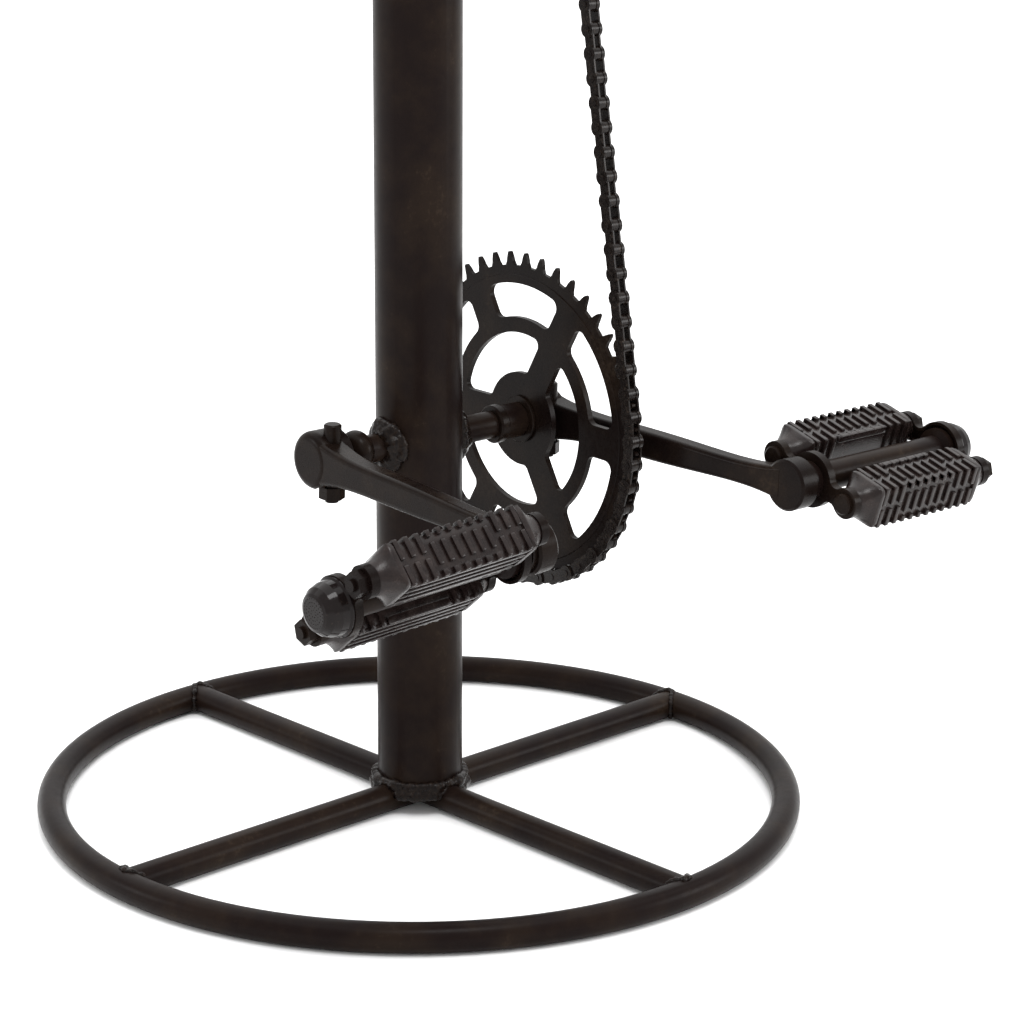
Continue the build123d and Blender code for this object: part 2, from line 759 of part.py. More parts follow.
def block_nuts():
    """The nuts outside the outer plate."""
    outer_face = PLATE_START + PEDAL_LENGTH
    nuts = []
    for side in (-1, 1):
        origin = (side * BLOCK_OFFSET, outer_face, 0)
        plane = Plane(origin=origin, x_dir=(1, 0, 0), z_dir=(0, 1, 0))
        nuts.append(hex_nut(BLOCK_NUT_FLATS, BLOCK_NUT_HEIGHT, BLOCK_BOLT_RADIUS, plane))
    return Part() + nuts


def dust_cap():
    """Domed cap over the end of the spindle."""
    face = PLATE_START + PEDAL_LENGTH
    end = face + CAP_LENGTH
    wall = 1.8
    corners = [
        (CAP_BORE_RADIUS, face),
        (CAP_FLANGE_RADIUS, face),
        (CAP_FLANGE_RADIUS, face + 0.9),
        (CAP_FLANGE_RADIUS - 1.0, face + 1.8),
        (12.9, face + 5.5),
        (11.5, face + 9.5),
        (9.2, face + 12.2),
        (CAP_END_RADIUS, end),
        (0, end),
        (0, end - wall),
        (7.0, end - wall),
        (9.6, face + 8.0),
        (CAP_BORE_RADIUS, face + 4.0),
    ]
    return turned(corners)


# ---------------------------------------------------------------- seat


def seat_collar():
    """Clamp collar that turns on the column top and grips the post."""
    outer_gap = COLUMN_RADIUS + SIDE_CLEARANCE
    top = COLUMN_TOP + COLLAR_HEIGHT
    lug_middle = -(COLLAR_RADIUS + LUG_REACH / 2 - 3)
    bolt_place = (-(COLLAR_RADIUS + LUG_REACH / 2), COLUMN_TOP + COLLAR_HEIGHT / 2)
    with BuildPart() as collar:
        with BuildSketch(Plane.XY.offset(COLUMN_TOP - COLLAR_SKIRT)):
            Circle(COLLAR_RADIUS)
        extrude(amount=COLLAR_SKIRT + COLLAR_HEIGHT)
        chamfer(collar.edges().group_by(Axis.Z)[-1], 1.5)
        with BuildSketch(Plane.XY.offset(COLUMN_TOP + 0.2)):
            with Locations((lug_middle, 0)):
                Rectangle(LUG_REACH + 6, LUG_WIDTH)
        extrude(amount=COLLAR_HEIGHT - 0.2)
        with BuildSketch(Plane.XY.offset(COLUMN_TOP - COLLAR_SKIRT)):
            Circle(outer_gap)
        extrude(amount=COLLAR_SKIRT + 0.2, mode=Mode.SUBTRACT)
        with BuildSketch(Plane.XY.offset(COLUMN_TOP)):
            Circle(COLUMN_BORE_RADIUS)
            with Locations((-COLLAR_RADIUS, 0)):
                Rectangle(2 * COLLAR_RADIUS, COLLAR_SLOT)
        extrude(amount=top - COLUMN_TOP, mode=Mode.SUBTRACT)
        with BuildSketch(side_plane(LUG_WIDTH)):
            with Locations(bolt_place):
                Circle(COLLAR_BOLT_RADIUS)
        extrude(amount=2 * LUG_WIDTH, mode=Mode.SUBTRACT)
    return collar.part


def collar_bolt():
    """Bolt and nut through the collar's lugs."""
    half = LUG_WIDTH / 2
    place = Pos(-(COLLAR_RADIUS + LUG_REACH / 2), 0, COLUMN_TOP + COLLAR_HEIGHT / 2)
    corners = [
        (0, -half - 5),
        (5.5, -half - 5),
        (6.5, -half - 4),
        (6.5, -half),
        (COLLAR_BOLT_RADIUS, -half),
        (COLLAR_BOLT_RADIUS, half + 8),
        (0, half + 8),
    ]
    nut_plane = Plane(origin=(0, half, 0), x_dir=(1, 0, 0), z_dir=(0, 1, 0))
    nut = hex_nut(12.5, 6.0, COLLAR_BOLT_RADIUS, nut_plane)
    return place * turned(corners), place * nut


def seat_post():
    """Tube that slides in the column, closed at the top."""
    inner = POST_RADIUS - POST_WALL
    corners = [
        (inner, POST_BOTTOM),
        (POST_RADIUS, POST_BOTTOM),
        (POST_RADIUS, POST_TOP - 1.5),
        (POST_RADIUS - 1.5, POST_TOP),
        (0, POST_TOP),
        (0, POST_TOP - 5),
        (inner, POST_TOP - 5),
    ]
    return turned_upright(corners)


def bent_rod(points, bend_radius, rod_radius):
    """Round rod along straight runs whose corners are bent to one radius."""
    start = Vector(*points[0])
    with BuildPart() as rod:
        with BuildLine() as path:
            for before, corner, after in zip(points, points[1:], points[2:]):
                arrive = (Vector(*corner) - Vector(*before)).normalized()
                leave = (Vector(*after) - Vector(*corner)).normalized()
                setback = bend_radius * tan(radians(arrive.get_angle(leave)) / 2)
                entry = Vector(*corner) - arrive * setback
                bend_end = Vector(*corner) + leave * setback
                Line(start, entry)
                TangentArc(entry, bend_end, tangent=arrive)
                start = bend_end
            Line(start, Vector(*points[-1]))
        with BuildSketch(Plane(origin=path.line @ 0, z_dir=path.line % 0)):
            Circle(rod_radius)
        sweep()
    return rod.part


def saddle_rail(side):
    """One rail rod, from the nose back through the clamp to its spring."""
    spring_x, spring_y = SPRING_PLACE
    points = [
        (NOSE_PLACE, side * NOSE_SPREAD, NOSE_HEIGHT),
        (CLAMP_LENGTH / 2 + RAIL_RUN, side * RAIL_SPREAD, RAIL_HEIGHT),
        (-CLAMP_LENGTH / 2 - RAIL_RUN / 2, side * RAIL_SPREAD, RAIL_HEIGHT),
        (spring_x, side * spring_y, RAIL_HEIGHT),
    ]
    return bent_rod(points, RAIL_BEND, RAIL_RADIUS)


def saddle_clamp(rails):
    """Lower and upper clamp plates that hold both rails."""
    plates = []
    for start, thickness in ((POST_TOP, 13.4), (RAIL_HEIGHT + 0.6, 9.4)):
        with BuildPart() as plate:
            with BuildSketch(Plane.XY.offset(start)):
                RectangleRounded(CLAMP_LENGTH, CLAMP_WIDTH, 8)
            extrude(amount=thickness)
            chamfer(plate.edges().group_by(Axis.Z)[-1], 1.2)
            with BuildSketch(Plane.XY.offset(POST_TOP)):
                Circle(COLLAR_BOLT_RADIUS + 1)
            extrude(amount=4 * thickness, mode=Mode.SUBTRACT)
            add(rails, mode=Mode.SUBTRACT)
        plates.append(plate.part)
    return plates


def clamp_bolt():
    """Bolt that draws the clamp plates together on the post head."""
    top = RAIL_HEIGHT + 10
    corners = [
        (0, POST_TOP),
        (COLLAR_BOLT_RADIUS + 1, POST_TOP),
        (COLLAR_BOLT_RADIUS + 1, top),
        (9.0, top),
        (9.0, top + 5),
        (7.5, top + 6.5),
        (0, top + 6.5),
    ]
    return turned_upright(corners)


def saddle_spring(side):
    """Coil spring under one rear corner of the saddle, wound as tilted half turns."""
    spring_x, spring_y = SPRING_PLACE
    bottom = RAIL_HEIGHT + RAIL_RADIUS + SPRING_WIRE
    rise = SPRING_HEIGHT / (2 * SPRING_TURNS)
    reach = sqrt(SPRING_RADIUS**2 - (rise / 2) ** 2)
    with BuildPart() as spring:
        with BuildLine() as path:
            for index in range(2 * SPRING_TURNS):
                way = 1 if index % 2 == 0 else -1
                ThreePointArc(
                    (way * reach, 0, index * rise),
                    (0, way * SPRING_RADIUS, (index + 0.5) * rise),
                    (-way * reach, 0, (index + 1) * rise),
                )
        with BuildSketch(Plane(origin=path.line @ 0, z_dir=path.line % 0)):
            Circle(SPRING_WIRE)
        sweep()
    return Pos(spring_x, side * spring_y, bottom) * Rot(0, 0, side * SPRING_START) * spring.part


# Sections of the leather top: place along X, width, depth, and rise of its crown
SADDLE_SECTIONS = [
    (-128, 150, 40, -6),
    (-112, 196, 50, 0),
    (-70, 206, 54, 2),
    (-20, 150, 52, -4),
    (40, 80, 50, -8),
    (100, 54, 46, -6),
    (138, 44, 36, -9),
]


def saddle_section(x, width, drop, rise):
    """Half-moon cross-section of the leather top, as a face across the saddle."""
    top = SADDLE_TOP + rise
    low = top - drop
    half = width / 2
    inner = half - LEATHER
    crown = top - LEATHER
    with BuildSketch(Plane(origin=(x, 0, 0), x_dir=(0, 1, 0), z_dir=(1, 0, 0))) as section:
        with BuildLine():
            outer = Spline(
                (-half, low),
                (-half * 0.93, low + drop * 0.62),
                (-half * 0.62, low + drop * 0.93),
                (0, top),
                (half * 0.62, low + drop * 0.93),
                (half * 0.93, low + drop * 0.62),
                (half, low),
            )
            Line(outer @ 1, (inner, low))
            inside = Spline(
                (inner, low),
                (inner * 0.92, low + (drop - LEATHER) * 0.6),
                (inner * 0.6, low + (drop - LEATHER) * 0.92),
                (0, crown),
                (-inner * 0.6, low + (drop - LEATHER) * 0.92),
                (-inner * 0.92, low + (drop - LEATHER) * 0.6),
                (-inner, low),
            )
            Line(inside @ 1, outer @ 0)
        make_face()
    return section.sketch


def leather_cover():
    """Tensioned leather top of the saddle."""
    sections = [saddle_section(*values) for values in SADDLE_SECTIONS]
    with BuildPart() as cover:
        loft(sections)
    return cover.part


def cantle_plate():
    """Pressed steel plate that carries the leather's rear edge and stands on the springs."""
    spring_x, spring_y = SPRING_PLACE
    bottom = RAIL_HEIGHT + RAIL_RADIUS + 2 * SPRING_WIRE + SPRING_HEIGHT + 1.4
    with BuildPart() as plate:
        with BuildSketch(Plane.XY.offset(bottom)):
            with Locations((spring_x, 0)):
                RectangleRounded(CANTLE_LENGTH, 2 * spring_y + CANTLE_LENGTH - 2, 18)
        extrude(amount=CANTLE_THICKNESS)
    return plate.part


def nose_plate(rails):
    """Small steel bridge under the nose where both rails end."""
    with BuildPart() as plate:
        with Locations((NOSE_PLACE + 4, 0, NOSE_HEIGHT)):
            Box(*NOSE_BRIDGE)
        fillet(plate.edges().filter_by(Axis.Z), 3)
        add(rails, mode=Mode.SUBTRACT)
    return plate.part


# ---------------------------------------------------------------- build and export


def export_frame():
    """Write the pieces that never move."""
    ring = base_ring()
    through, half_rear, half_front = cross_bars(ring)
    save(ring, "base_ring")
    save(through, "cross_bar_through")
    save(half_rear, "cross_bar_rear")
    save(half_front, "cross_bar_front")
    save(column([through, half_rear, half_front]), "column")
    save(axle_housing(), "axle_housing")
    stub, nut = stub_axle()
    save(stub, "top_stub_axle")
    save(nut, "top_axle_nut")
    save(Part() + [place * inner_link() for place in link_places(0)], "chain_inner_links")
    save(Part() + [place * outer_link() for place in link_places(1)], "chain_outer_links")


def export_crankset():
    """Write the axle and everything locked to it."""
    pin_places = cotter_places()
    pins = [cotter_pin(y) for y in pin_places]
    nuts = [cotter_nut(y) for y in pin_places]
    left_mirror = Plane.XZ
    left_crank = crank(LEFT_BOSS, LEFT_EYE_INNER, pins[0].mirror(left_mirror), LEFT_PEDAL_DROOP)
    left_crank = left_crank.mirror(left_mirror)
    right_crank = crank(RIGHT_BOSS, RIGHT_EYE_INNER, pins[1], RIGHT_PEDAL_DROOP)
    save(CRANK_PLACE * crank_axle(pins), "crank_axle")
    save(CRANK_PLACE * left_crank, "left_crank")
    save(CRANK_PLACE * right_crank, "right_crank")
    save(Part() + [CRANK_PLACE * pin for pin in pins], "cotter_pins")
    save(Part() + [CRANK_PLACE * nut for nut in nuts], "cotter_nuts")
    save(Pos(0, 0, AXLE_HEIGHT) * lock_ring_left(), "left_lock_ring")
    ring_start = HOUSING_RIGHT + SIDE_CLEARANCE
    chainring_face = CHAIN_LINE - CHAINRING_THICKNESS / 2
    washer_start = chainring_face - 2
    place = Pos(0, 0, AXLE_HEIGHT)
    save(place * sleeve(10.5, ring_start, ring_start + 6, 1.0), "right_lock_ring")
    save(place * sleeve(9.5, ring_start + 6, washer_start, 0.4), "spacer_sleeve")
    save(place * sleeve(13.0, washer_start, chainring_face, 0.5), "flange_washer")
    save(chainring(), "chainring")
    save(top_sprocket(), "top_sprocket")


def export_pedal(side_name, outwards, eye_inner, turn, droop):
    """Write one pedal and its spindle; outwards is +1 for the right side."""
    eye_x = CRANK_LENGTH * cos(radians(CRANK_DROP))
    eye_z = AXLE_HEIGHT - CRANK_LENGTH * sin(radians(CRANK_DROP))
    eye_face = eye_inner + EYE_THICKNESS
    plate_end = PLATE_START + PEDAL_LENGTH
    eye = Pos(eye_x, outwards * eye_face, eye_z)
    place = eye * Rot(0, CRANK_DROP, 0) * Rot(-outwards * droop, 0, 0) * Rot(0, turn - CRANK_DROP, 0)
    pieces = {
        "spindle": pedal_spindle(),
        "pedal_barrel": pedal_barrel(),
        "pedal_inner_plate": pedal_plate(PLATE_START, 1),
        "pedal_outer_plate": pedal_plate(plate_end, -1),
        "pedal_front_block": rubber_block(BLOCK_OFFSET),
        "pedal_rear_block": rubber_block(-BLOCK_OFFSET),
        "pedal_block_bolts": block_bolts(),
        "pedal_block_nuts": block_nuts(),
        "pedal_dust_cap": dust_cap(),
    }
    for name, piece in pieces.items():
        if outwards < 0:
            piece = piece.mirror(Plane.XZ)
        save(place * piece, side_name + "_" + name)


def export_seat():
    """Write the collar, the post and the saddle."""
    bolt, nut = collar_bolt()
    save(seat_collar(), "seat_collar")
    save(bolt, "collar_bolt")
    save(nut, "collar_nut")
    save(seat_post(), "seat_post")
    rails = [saddle_rail(side) for side in (1, -1)]
    lower, upper = saddle_clamp(rails)
    save(lower, "saddle_clamp_lower")
    save(upper, "saddle_clamp_upper")
    save(clamp_bolt(), "saddle_clamp_bolt")
    save(Part() + rails, "saddle_rails")
    save(saddle_spring(1), "saddle_spring_right")
    save(saddle_spring(-1), "saddle_spring_left")
    save(nose_plate(rails), "saddle_nose_plate")
    save(cantle_plate(), "saddle_cantle_plate")
    save(leather_cover(), "saddle_leather")


if __name__ == "__main__":
    os.makedirs(PARTS, exist_ok=True)
    export_frame()
    export_crankset()
    export_pedal("left", -1, LEFT_EYE_INNER, LEFT_PEDAL_TURN, LEFT_PEDAL_DROOP)
    export_pedal("right", 1, RIGHT_EYE_INNER, RIGHT_PEDAL_TURN, RIGHT_PEDAL_DROOP)
    export_seat()
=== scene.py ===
"""Looks, welds, pedal rubbers, saddle trim, light and camera for the pedal bar stool.

Everything is in metres in the stool's own frame: the origin is on the floor at the centre of the
base ring, +X is the way the cranks point, +Y runs along the crank axle towards the chainring.
"""

import json
import logging
import math
from dataclasses import dataclass
from enum import Enum

import bmesh
import bpy
from mathutils import Matrix, Vector

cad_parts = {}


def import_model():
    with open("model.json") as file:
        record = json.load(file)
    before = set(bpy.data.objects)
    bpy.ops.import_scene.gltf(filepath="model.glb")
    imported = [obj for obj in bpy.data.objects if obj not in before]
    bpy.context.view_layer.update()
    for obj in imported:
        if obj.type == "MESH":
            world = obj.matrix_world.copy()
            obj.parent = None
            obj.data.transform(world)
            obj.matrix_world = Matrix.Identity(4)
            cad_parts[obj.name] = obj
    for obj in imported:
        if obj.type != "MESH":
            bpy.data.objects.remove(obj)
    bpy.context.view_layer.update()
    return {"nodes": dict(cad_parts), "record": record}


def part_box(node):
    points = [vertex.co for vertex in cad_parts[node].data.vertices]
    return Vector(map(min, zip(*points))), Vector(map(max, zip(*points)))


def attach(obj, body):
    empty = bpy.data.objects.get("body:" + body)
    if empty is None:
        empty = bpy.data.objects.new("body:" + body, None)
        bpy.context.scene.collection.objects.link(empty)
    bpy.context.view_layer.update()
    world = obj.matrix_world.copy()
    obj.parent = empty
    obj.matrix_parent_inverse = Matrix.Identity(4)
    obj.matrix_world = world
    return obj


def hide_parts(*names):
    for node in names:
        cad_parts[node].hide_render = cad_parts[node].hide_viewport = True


LOG = logging.getLogger("pedal_stool")

Point = tuple[float, float, float]
Colour = tuple[float, float, float, float]


class Body(Enum):
    """Moving groups of the stool that a piece can ride on."""

    FRAME = "frame"
    CRANKSET = "crankset"
    LEFT_PEDAL = "left_pedal"
    RIGHT_PEDAL = "right_pedal"
    SPROCKET = "sprocket"
    COLLAR = "collar"
    SEAT = "seat"


class Slot(Enum):
    """Material slots of the record."""

    STEEL = "dark_steel"
    RUBBER = "black_rubber"
    CAP = "cap_steel"
    CHAIN = "chain_steel"
    HIDE = "saddle_leather"


# ---------------------------------------------------------------- node helpers


class Num:
    """A number socket that takes part in Python arithmetic."""

    def __init__(self, tree: "NodeTree", socket: bpy.types.NodeSocket) -> None:
        """Wrap a socket.

        Args:
            tree: The tree wrapper that owns the socket.
            socket: The output socket that carries the number.
        """
        self.tree = tree
        self.socket = socket

    def _math(self, operation: str, first: object, second: object) -> "Num":
        """Add one Math node.

        Args:
            operation: Blender's name of the operation.
            first: A number or a wrapped socket.
            second: A number or a wrapped socket.

        Returns:
            The node's result.
        """
        return self.tree.math(operation, first, second)

    def __add__(self, other: object) -> "Num":
        """Sum."""
        return self._math("ADD", self, other)

    def __radd__(self, other: object) -> "Num":
        """Sum with a plain number on the left."""
        return self._math("ADD", other, self)

    def __sub__(self, other: object) -> "Num":
        """Difference."""
        return self._math("SUBTRACT", self, other)

    def __rsub__(self, other: object) -> "Num":
        """Difference from a plain number."""
        return self._math("SUBTRACT", other, self)

    def __mul__(self, other: object) -> "Num":
        """Product."""
        return self._math("MULTIPLY", self, other)

    def __rmul__(self, other: object) -> "Num":
        """Product with a plain number on the left."""
        return self._math("MULTIPLY", other, self)

    def __truediv__(self, other: object) -> "Num":
        """Quotient."""
        return self._math("DIVIDE", self, other)


class NodeTree:
    """A shader or geometry tree with one method that adds any node."""

    def __init__(self, tree: bpy.types.NodeTree) -> None:
        """Wrap a node tree and empty it.

        Args:
            tree: Blender's node tree.
        """
        self.tree = tree
        tree.nodes.clear()

    def node(
        self, kind: str, settings: dict | None = None, inputs: dict | None = None
    ) -> bpy.types.Node:
        """Add a node, set it up and fill its sockets.

        Args:
            kind: Blender's type name of the node.
            settings: Attributes of the node, set before its sockets.
            inputs: Socket name or index to a value, a socket or a wrapped number.

        Returns:
            The new node.
        """
        made = self.tree.nodes.new(kind)
        for name, value in (settings or {}).items():
            setattr(made, name, value)
        for name, value in (inputs or {}).items():
            self.fill(made.inputs[name], value)
        return made

    def fill(self, socket: bpy.types.NodeSocket, value: object) -> None:
        """Link or set one input socket.

        Args:
            socket: The input socket.
            value: A value, an output socket or a wrapped number.
        """
        if isinstance(value, Num):
            value = value.socket
        if isinstance(value, bpy.types.NodeSocket):
            self.tree.links.new(value, socket)
        else:
            socket.default_value = value

    def math(self, operation: str, first: object, second: object = 0.0) -> Num:
        """Add a Math node.

        Args:
            operation: Blender's name of the operation.
            first: The first operand.
            second: The second operand.

        Returns:
            The result as a wrapped number.
        """
        made = self.node("ShaderNodeMath", {"operation": operation}, {0: first, 1: second})
        return Num(self, made.outputs[0])


class Surface(NodeTree):
    """A material under construction, with the patterns the finishes share."""

    def __init__(self, name: str) -> None:
        """Start a material with an empty Principled shader.

        Args:
            name: The material's name.
        """
        self.material = bpy.data.materials.new(name)
        self.material.use_nodes = True
        super().__init__(self.material.node_tree)
        self.shader = self.node("ShaderNodeBsdfPrincipled")
        output = self.node("ShaderNodeOutputMaterial")
        self.tree.links.new(self.shader.outputs[0], output.inputs[0])
        self.place = self.node("ShaderNodeTexCoord").outputs["Object"]

    def noise(self, scale: float, detail: float = 3.0, rough: float = 0.55) -> Num:
        """Noise pattern on the piece's own coordinates.

        Args:
            scale: Features per metre, roughly.
            detail: Octaves.
            rough: How strong the finer octaves are.

        Returns:
            The pattern, about 0 to 1.
        """
        made = self.node(
            "ShaderNodeTexNoise",
            inputs={"Vector": self.place, "Scale": scale, "Detail": detail, "Roughness": rough},
        )
        return Num(self, made.outputs[0])

    def cells(self, scale: float, feature: str = "F1") -> Num:
        """Cell pattern such as pebbled grain.

        Args:
            scale: Cells per metre.
            feature: Blender's name of the distance used.

        Returns:
            Distance inside each cell.
        """
        made = self.node(
            "ShaderNodeTexVoronoi", {"feature": feature}, {"Vector": self.place, "Scale": scale}
        )
        return Num(self, made.outputs["Distance"])

    def stretch(self, value: Num, low: float, high: float, to_low: float, to_high: float) -> Num:
        """Map a range of a pattern smoothly on to another.

        Args:
            value: The pattern.
            low: Where the ramp starts.
            high: Where the ramp ends.
            to_low: Result at the start.
            to_high: Result at the end.

        Returns:
            The mapped pattern, clamped at both ends.
        """
        made = self.node(
            "ShaderNodeMapRange",
            {"interpolation_type": "SMOOTHSTEP"},
            {0: value, 1: low, 2: high, 3: to_low, 4: to_high},
        )
        return Num(self, made.outputs[0])

    def blend(self, factor: object, first: object, second: object) -> bpy.types.NodeSocket:
        """Mix two colours.

        Args:
            factor: Share of the second colour.
            first: A colour or a colour socket.
            second: A colour or a colour socket.

        Returns:
            The mixed colour socket.
        """
        made = self.node("ShaderNodeMix", {"data_type": "RGBA"}, {0: factor, 6: first, 7: second})
        return made.outputs[2]

    def relief(self, height: Num, strength: float, depth: float) -> None:
        """Feed a height pattern to the shader's normal.

        Args:
            height: The pattern.
            strength: Bump strength.
            depth: Height in metres of the full pattern.
        """
        made = self.node(
            "ShaderNodeBump", inputs={"Height": height, "Strength": strength, "Distance": depth}
        )
        self.fill(self.shader.inputs["Normal"], made.outputs[0])

    def finish(self, colour: object, rough: object, **fixed: float) -> bpy.types.Material:
        """Connect the last sockets.

        Args:
            colour: Base colour or colour socket.
            rough: Roughness or wrapped pattern.
            **fixed: Other shader sockets by name, spaces written as underscores.

        Returns:
            The finished material.
        """
        self.fill(self.shader.inputs["Base Color"], colour)
        self.fill(self.shader.inputs["Roughness"], rough)
        for name, value in fixed.items():
            self.shader.inputs[name.replace("_", " ")].default_value = value
        return self.material


# ---------------------------------------------------------------- finishes


@dataclass(frozen=True)
class StovePaint:
    """Satin brown-black stove paint on steel, thin and rubbed in places."""

    name: str = "stove_paint"
    deep: Colour = (0.0066, 0.0038, 0.0034, 1.0)
    warm: Colour = (0.0125, 0.0076, 0.0052, 1.0)
    rubbed: Colour = (0.0300, 0.0200, 0.0130, 1.0)
    rough: float = 0.34
    peel: float = 1400.0
    sheen_level: float = 0.05

    def material(self) -> bpy.types.Material:
        """Build the material."""
        surface = Surface(self.name)
        cloud = surface.noise(26.0, 5.0, 0.6)
        streak = surface.noise(240.0, 4.0, 0.7)
        speck = surface.noise(1900.0, 2.0, 0.5)
        warmth = surface.stretch(cloud, 0.38, 0.68, 0.0, 1.0)
        base = surface.blend(warmth, self.deep, self.warm)
        rubbing = surface.stretch(cloud * 0.45 + streak * 0.55, 0.56, 0.70, 0.0, 0.5)
        colour = surface.blend(rubbing, base, self.rubbed)
        fine = surface.noise(self.peel, 2.0, 0.5)
        surface.relief(fine * 0.6 + speck * 0.2 + streak * 0.5, 0.35, 0.00012)
        rough = streak * 0.22 + fine * 0.10 + (self.rough - 0.16)
        return surface.finish(colour, rough, Specular_IOR_Level=self.sheen_level)


@dataclass(frozen=True)
class WeldScale:
    """Painted-over weld metal, glossier and pitted."""

    name: str = "weld_scale"
    deep: Colour = (0.0045, 0.0028, 0.0024, 1.0)
    warm: Colour = (0.0110, 0.0068, 0.0048, 1.0)

    def material(self) -> bpy.types.Material:
        """Build the material."""
        surface = Surface(self.name)
        blotch = surface.noise(420.0, 4.0, 0.65)
        colour = surface.blend(surface.stretch(blotch, 0.4, 0.65, 0.0, 1.0), self.deep, self.warm)
        pits = surface.cells(1500.0)
        surface.relief(blotch * 0.8 + pits * 0.5, 0.5, 0.0003)
        return surface.finish(colour, blotch * 0.3 + 0.08, Specular_IOR_Level=0.10)


@dataclass(frozen=True)
class BlockRubber:
    """Dull moulded rubber with a little dust on it."""

    name: str = "block_rubber"
    black: Colour = (0.0080, 0.0048, 0.0044, 1.0)
    dusty: Colour = (0.0240, 0.0162, 0.0142, 1.0)

    def material(self) -> bpy.types.Material:
        """Build the material."""
        surface = Surface(self.name)
        dust = surface.noise(130.0, 5.0, 0.65)
        grain = surface.noise(2600.0, 2.0, 0.6)
        amount = surface.stretch(dust * 0.7 + grain * 0.3, 0.40, 0.72, 0.0, 0.8)
        colour = surface.blend(amount, self.black, self.dusty)
        surface.relief(grain * 0.7 + dust * 0.4, 0.4, 0.00015)
        return surface.finish(colour, dust * 0.25 + 0.12, Specular_IOR_Level=0.20)


@dataclass(frozen=True)
class CapEnamel:
    """Glossy black enamel on the dust caps."""

    name: str = "cap_enamel"
    black: Colour = (0.0070, 0.0050, 0.0048, 1.0)
    worn: Colour = (0.0260, 0.0185, 0.0150, 1.0)

    def material(self) -> bpy.types.Material:
        """Build the material."""
        surface = Surface(self.name)
        scuff = surface.noise(330.0, 5.0, 0.7)
        wear = surface.stretch(scuff, 0.58, 0.72, 0.0, 0.6)
        colour = surface.blend(wear, self.black, self.worn)
        surface.relief(surface.noise(900.0, 2.0) * 0.5 + scuff * 0.3, 0.2, 0.0001)
        return surface.finish(colour, wear * 0.35 + 0.10, Specular_IOR_Level=0.12)


@dataclass(frozen=True)
class OiledChain:
    """Blackened chain steel with an oily film."""

    name: str = "oiled_chain"
    dark: Colour = (0.0070, 0.0050, 0.0044, 1.0)
    bare: Colour = (0.0420, 0.0280, 0.0190, 1.0)

    def material(self) -> bpy.types.Material:
        """Build the material."""
        surface = Surface(self.name)
        film = surface.noise(380.0, 4.0, 0.6)
        rub = surface.noise(1300.0, 3.0, 0.6)
        bareness = surface.stretch(rub * 0.6 + film * 0.4, 0.52, 0.68, 0.0, 0.7)
        colour = surface.blend(bareness, self.dark, self.bare)
        surface.relief(rub * 0.6 + film * 0.3, 0.3, 0.0001)
        return surface.finish(colour, film * 0.3 + 0.12, Metallic=0.08, Specular_IOR_Level=0.16)


@dataclass(frozen=True)
class SaddleHide:
    """Thick brown saddle leather with pebbled grain and darkened patches."""

    name: str = "saddle_hide"
    tan: Colour = (0.0620, 0.0230, 0.0090, 1.0)
    dark: Colour = (0.0150, 0.0062, 0.0034, 1.0)

    def material(self) -> bpy.types.Material:
        """Build the material."""
        surface = Surface(self.name)
        patch = surface.noise(14.0, 5.0, 0.6)
        pebbles = surface.cells(620.0, "DISTANCE_TO_EDGE")
        crease = surface.noise(170.0, 6.0, 0.7)
        seams = surface.stretch(pebbles, 0.0, 0.16, 1.0, 0.0)
        age = surface.stretch(patch * 0.6 + crease * 0.4, 0.40, 0.62, 0.0, 1.0)
        base = surface.blend(age, self.tan, self.dark)
        colour = surface.blend(seams * 0.55, base, self.dark)
        height = surface.stretch(pebbles, 0.0, 0.35, 0.0, 1.0)
        surface.relief(height * 0.6 + crease * 0.8, 0.45, 0.0004)
        return surface.finish(colour, crease * 0.3 + 0.28, Specular_IOR_Level=0.25)


@dataclass(frozen=True)
class RivetCopper:
    """Domed copper rivets of the saddle."""

    name: str = "rivet_copper"
    bright: Colour = (0.4200, 0.1900, 0.1000, 1.0)
    brown: Colour = (0.0900, 0.0400, 0.0220, 1.0)

    def material(self) -> bpy.types.Material:
        """Build the material."""
        surface = Surface(self.name)
        tarnish = surface.noise(260.0, 5.0, 0.7)
        amount = surface.stretch(tarnish, 0.38, 0.66, 0.0, 1.0)
        colour = surface.blend(amount, self.bright, self.brown)
        surface.relief(tarnish, 0.3, 0.0002)
        return surface.finish(colour, amount * 0.25 + 0.28, Metallic=0.9)


@dataclass(frozen=True)
class StudioPaper:
    """Matte white sweep that the stool stands on."""

    name: str = "studio_paper"
    white: Colour = (0.93, 0.93, 0.93, 1.0)
    shade: Colour = (0.91, 0.91, 0.91, 1.0)

    def material(self) -> bpy.types.Material:
        """Build the material."""
        surface = Surface(self.name)
        colour = surface.blend(surface.noise(3.0), self.white, self.shade)
        return surface.finish(colour, 0.9, Specular_IOR_Level=0.1)


# ---------------------------------------------------------------- mesh helpers


def mesh_object(name: str, vertices: list[Point], faces: list, edges: list | None = None) -> bpy.types.Object:
    """Make a mesh object at the origin.

    Args:
        name: The object's name.
        vertices: Points in metres.
        faces: Tuples of vertex numbers.
        edges: Pairs of vertex numbers, for a path without faces.

    Returns:
        The new object, linked to the scene.
    """
    mesh = bpy.data.meshes.new(name)
    mesh.from_pydata(vertices, edges or [], faces)
    mesh.update()
    made = bpy.data.objects.new(name, mesh)
    bpy.context.scene.collection.objects.link(made)
    return made


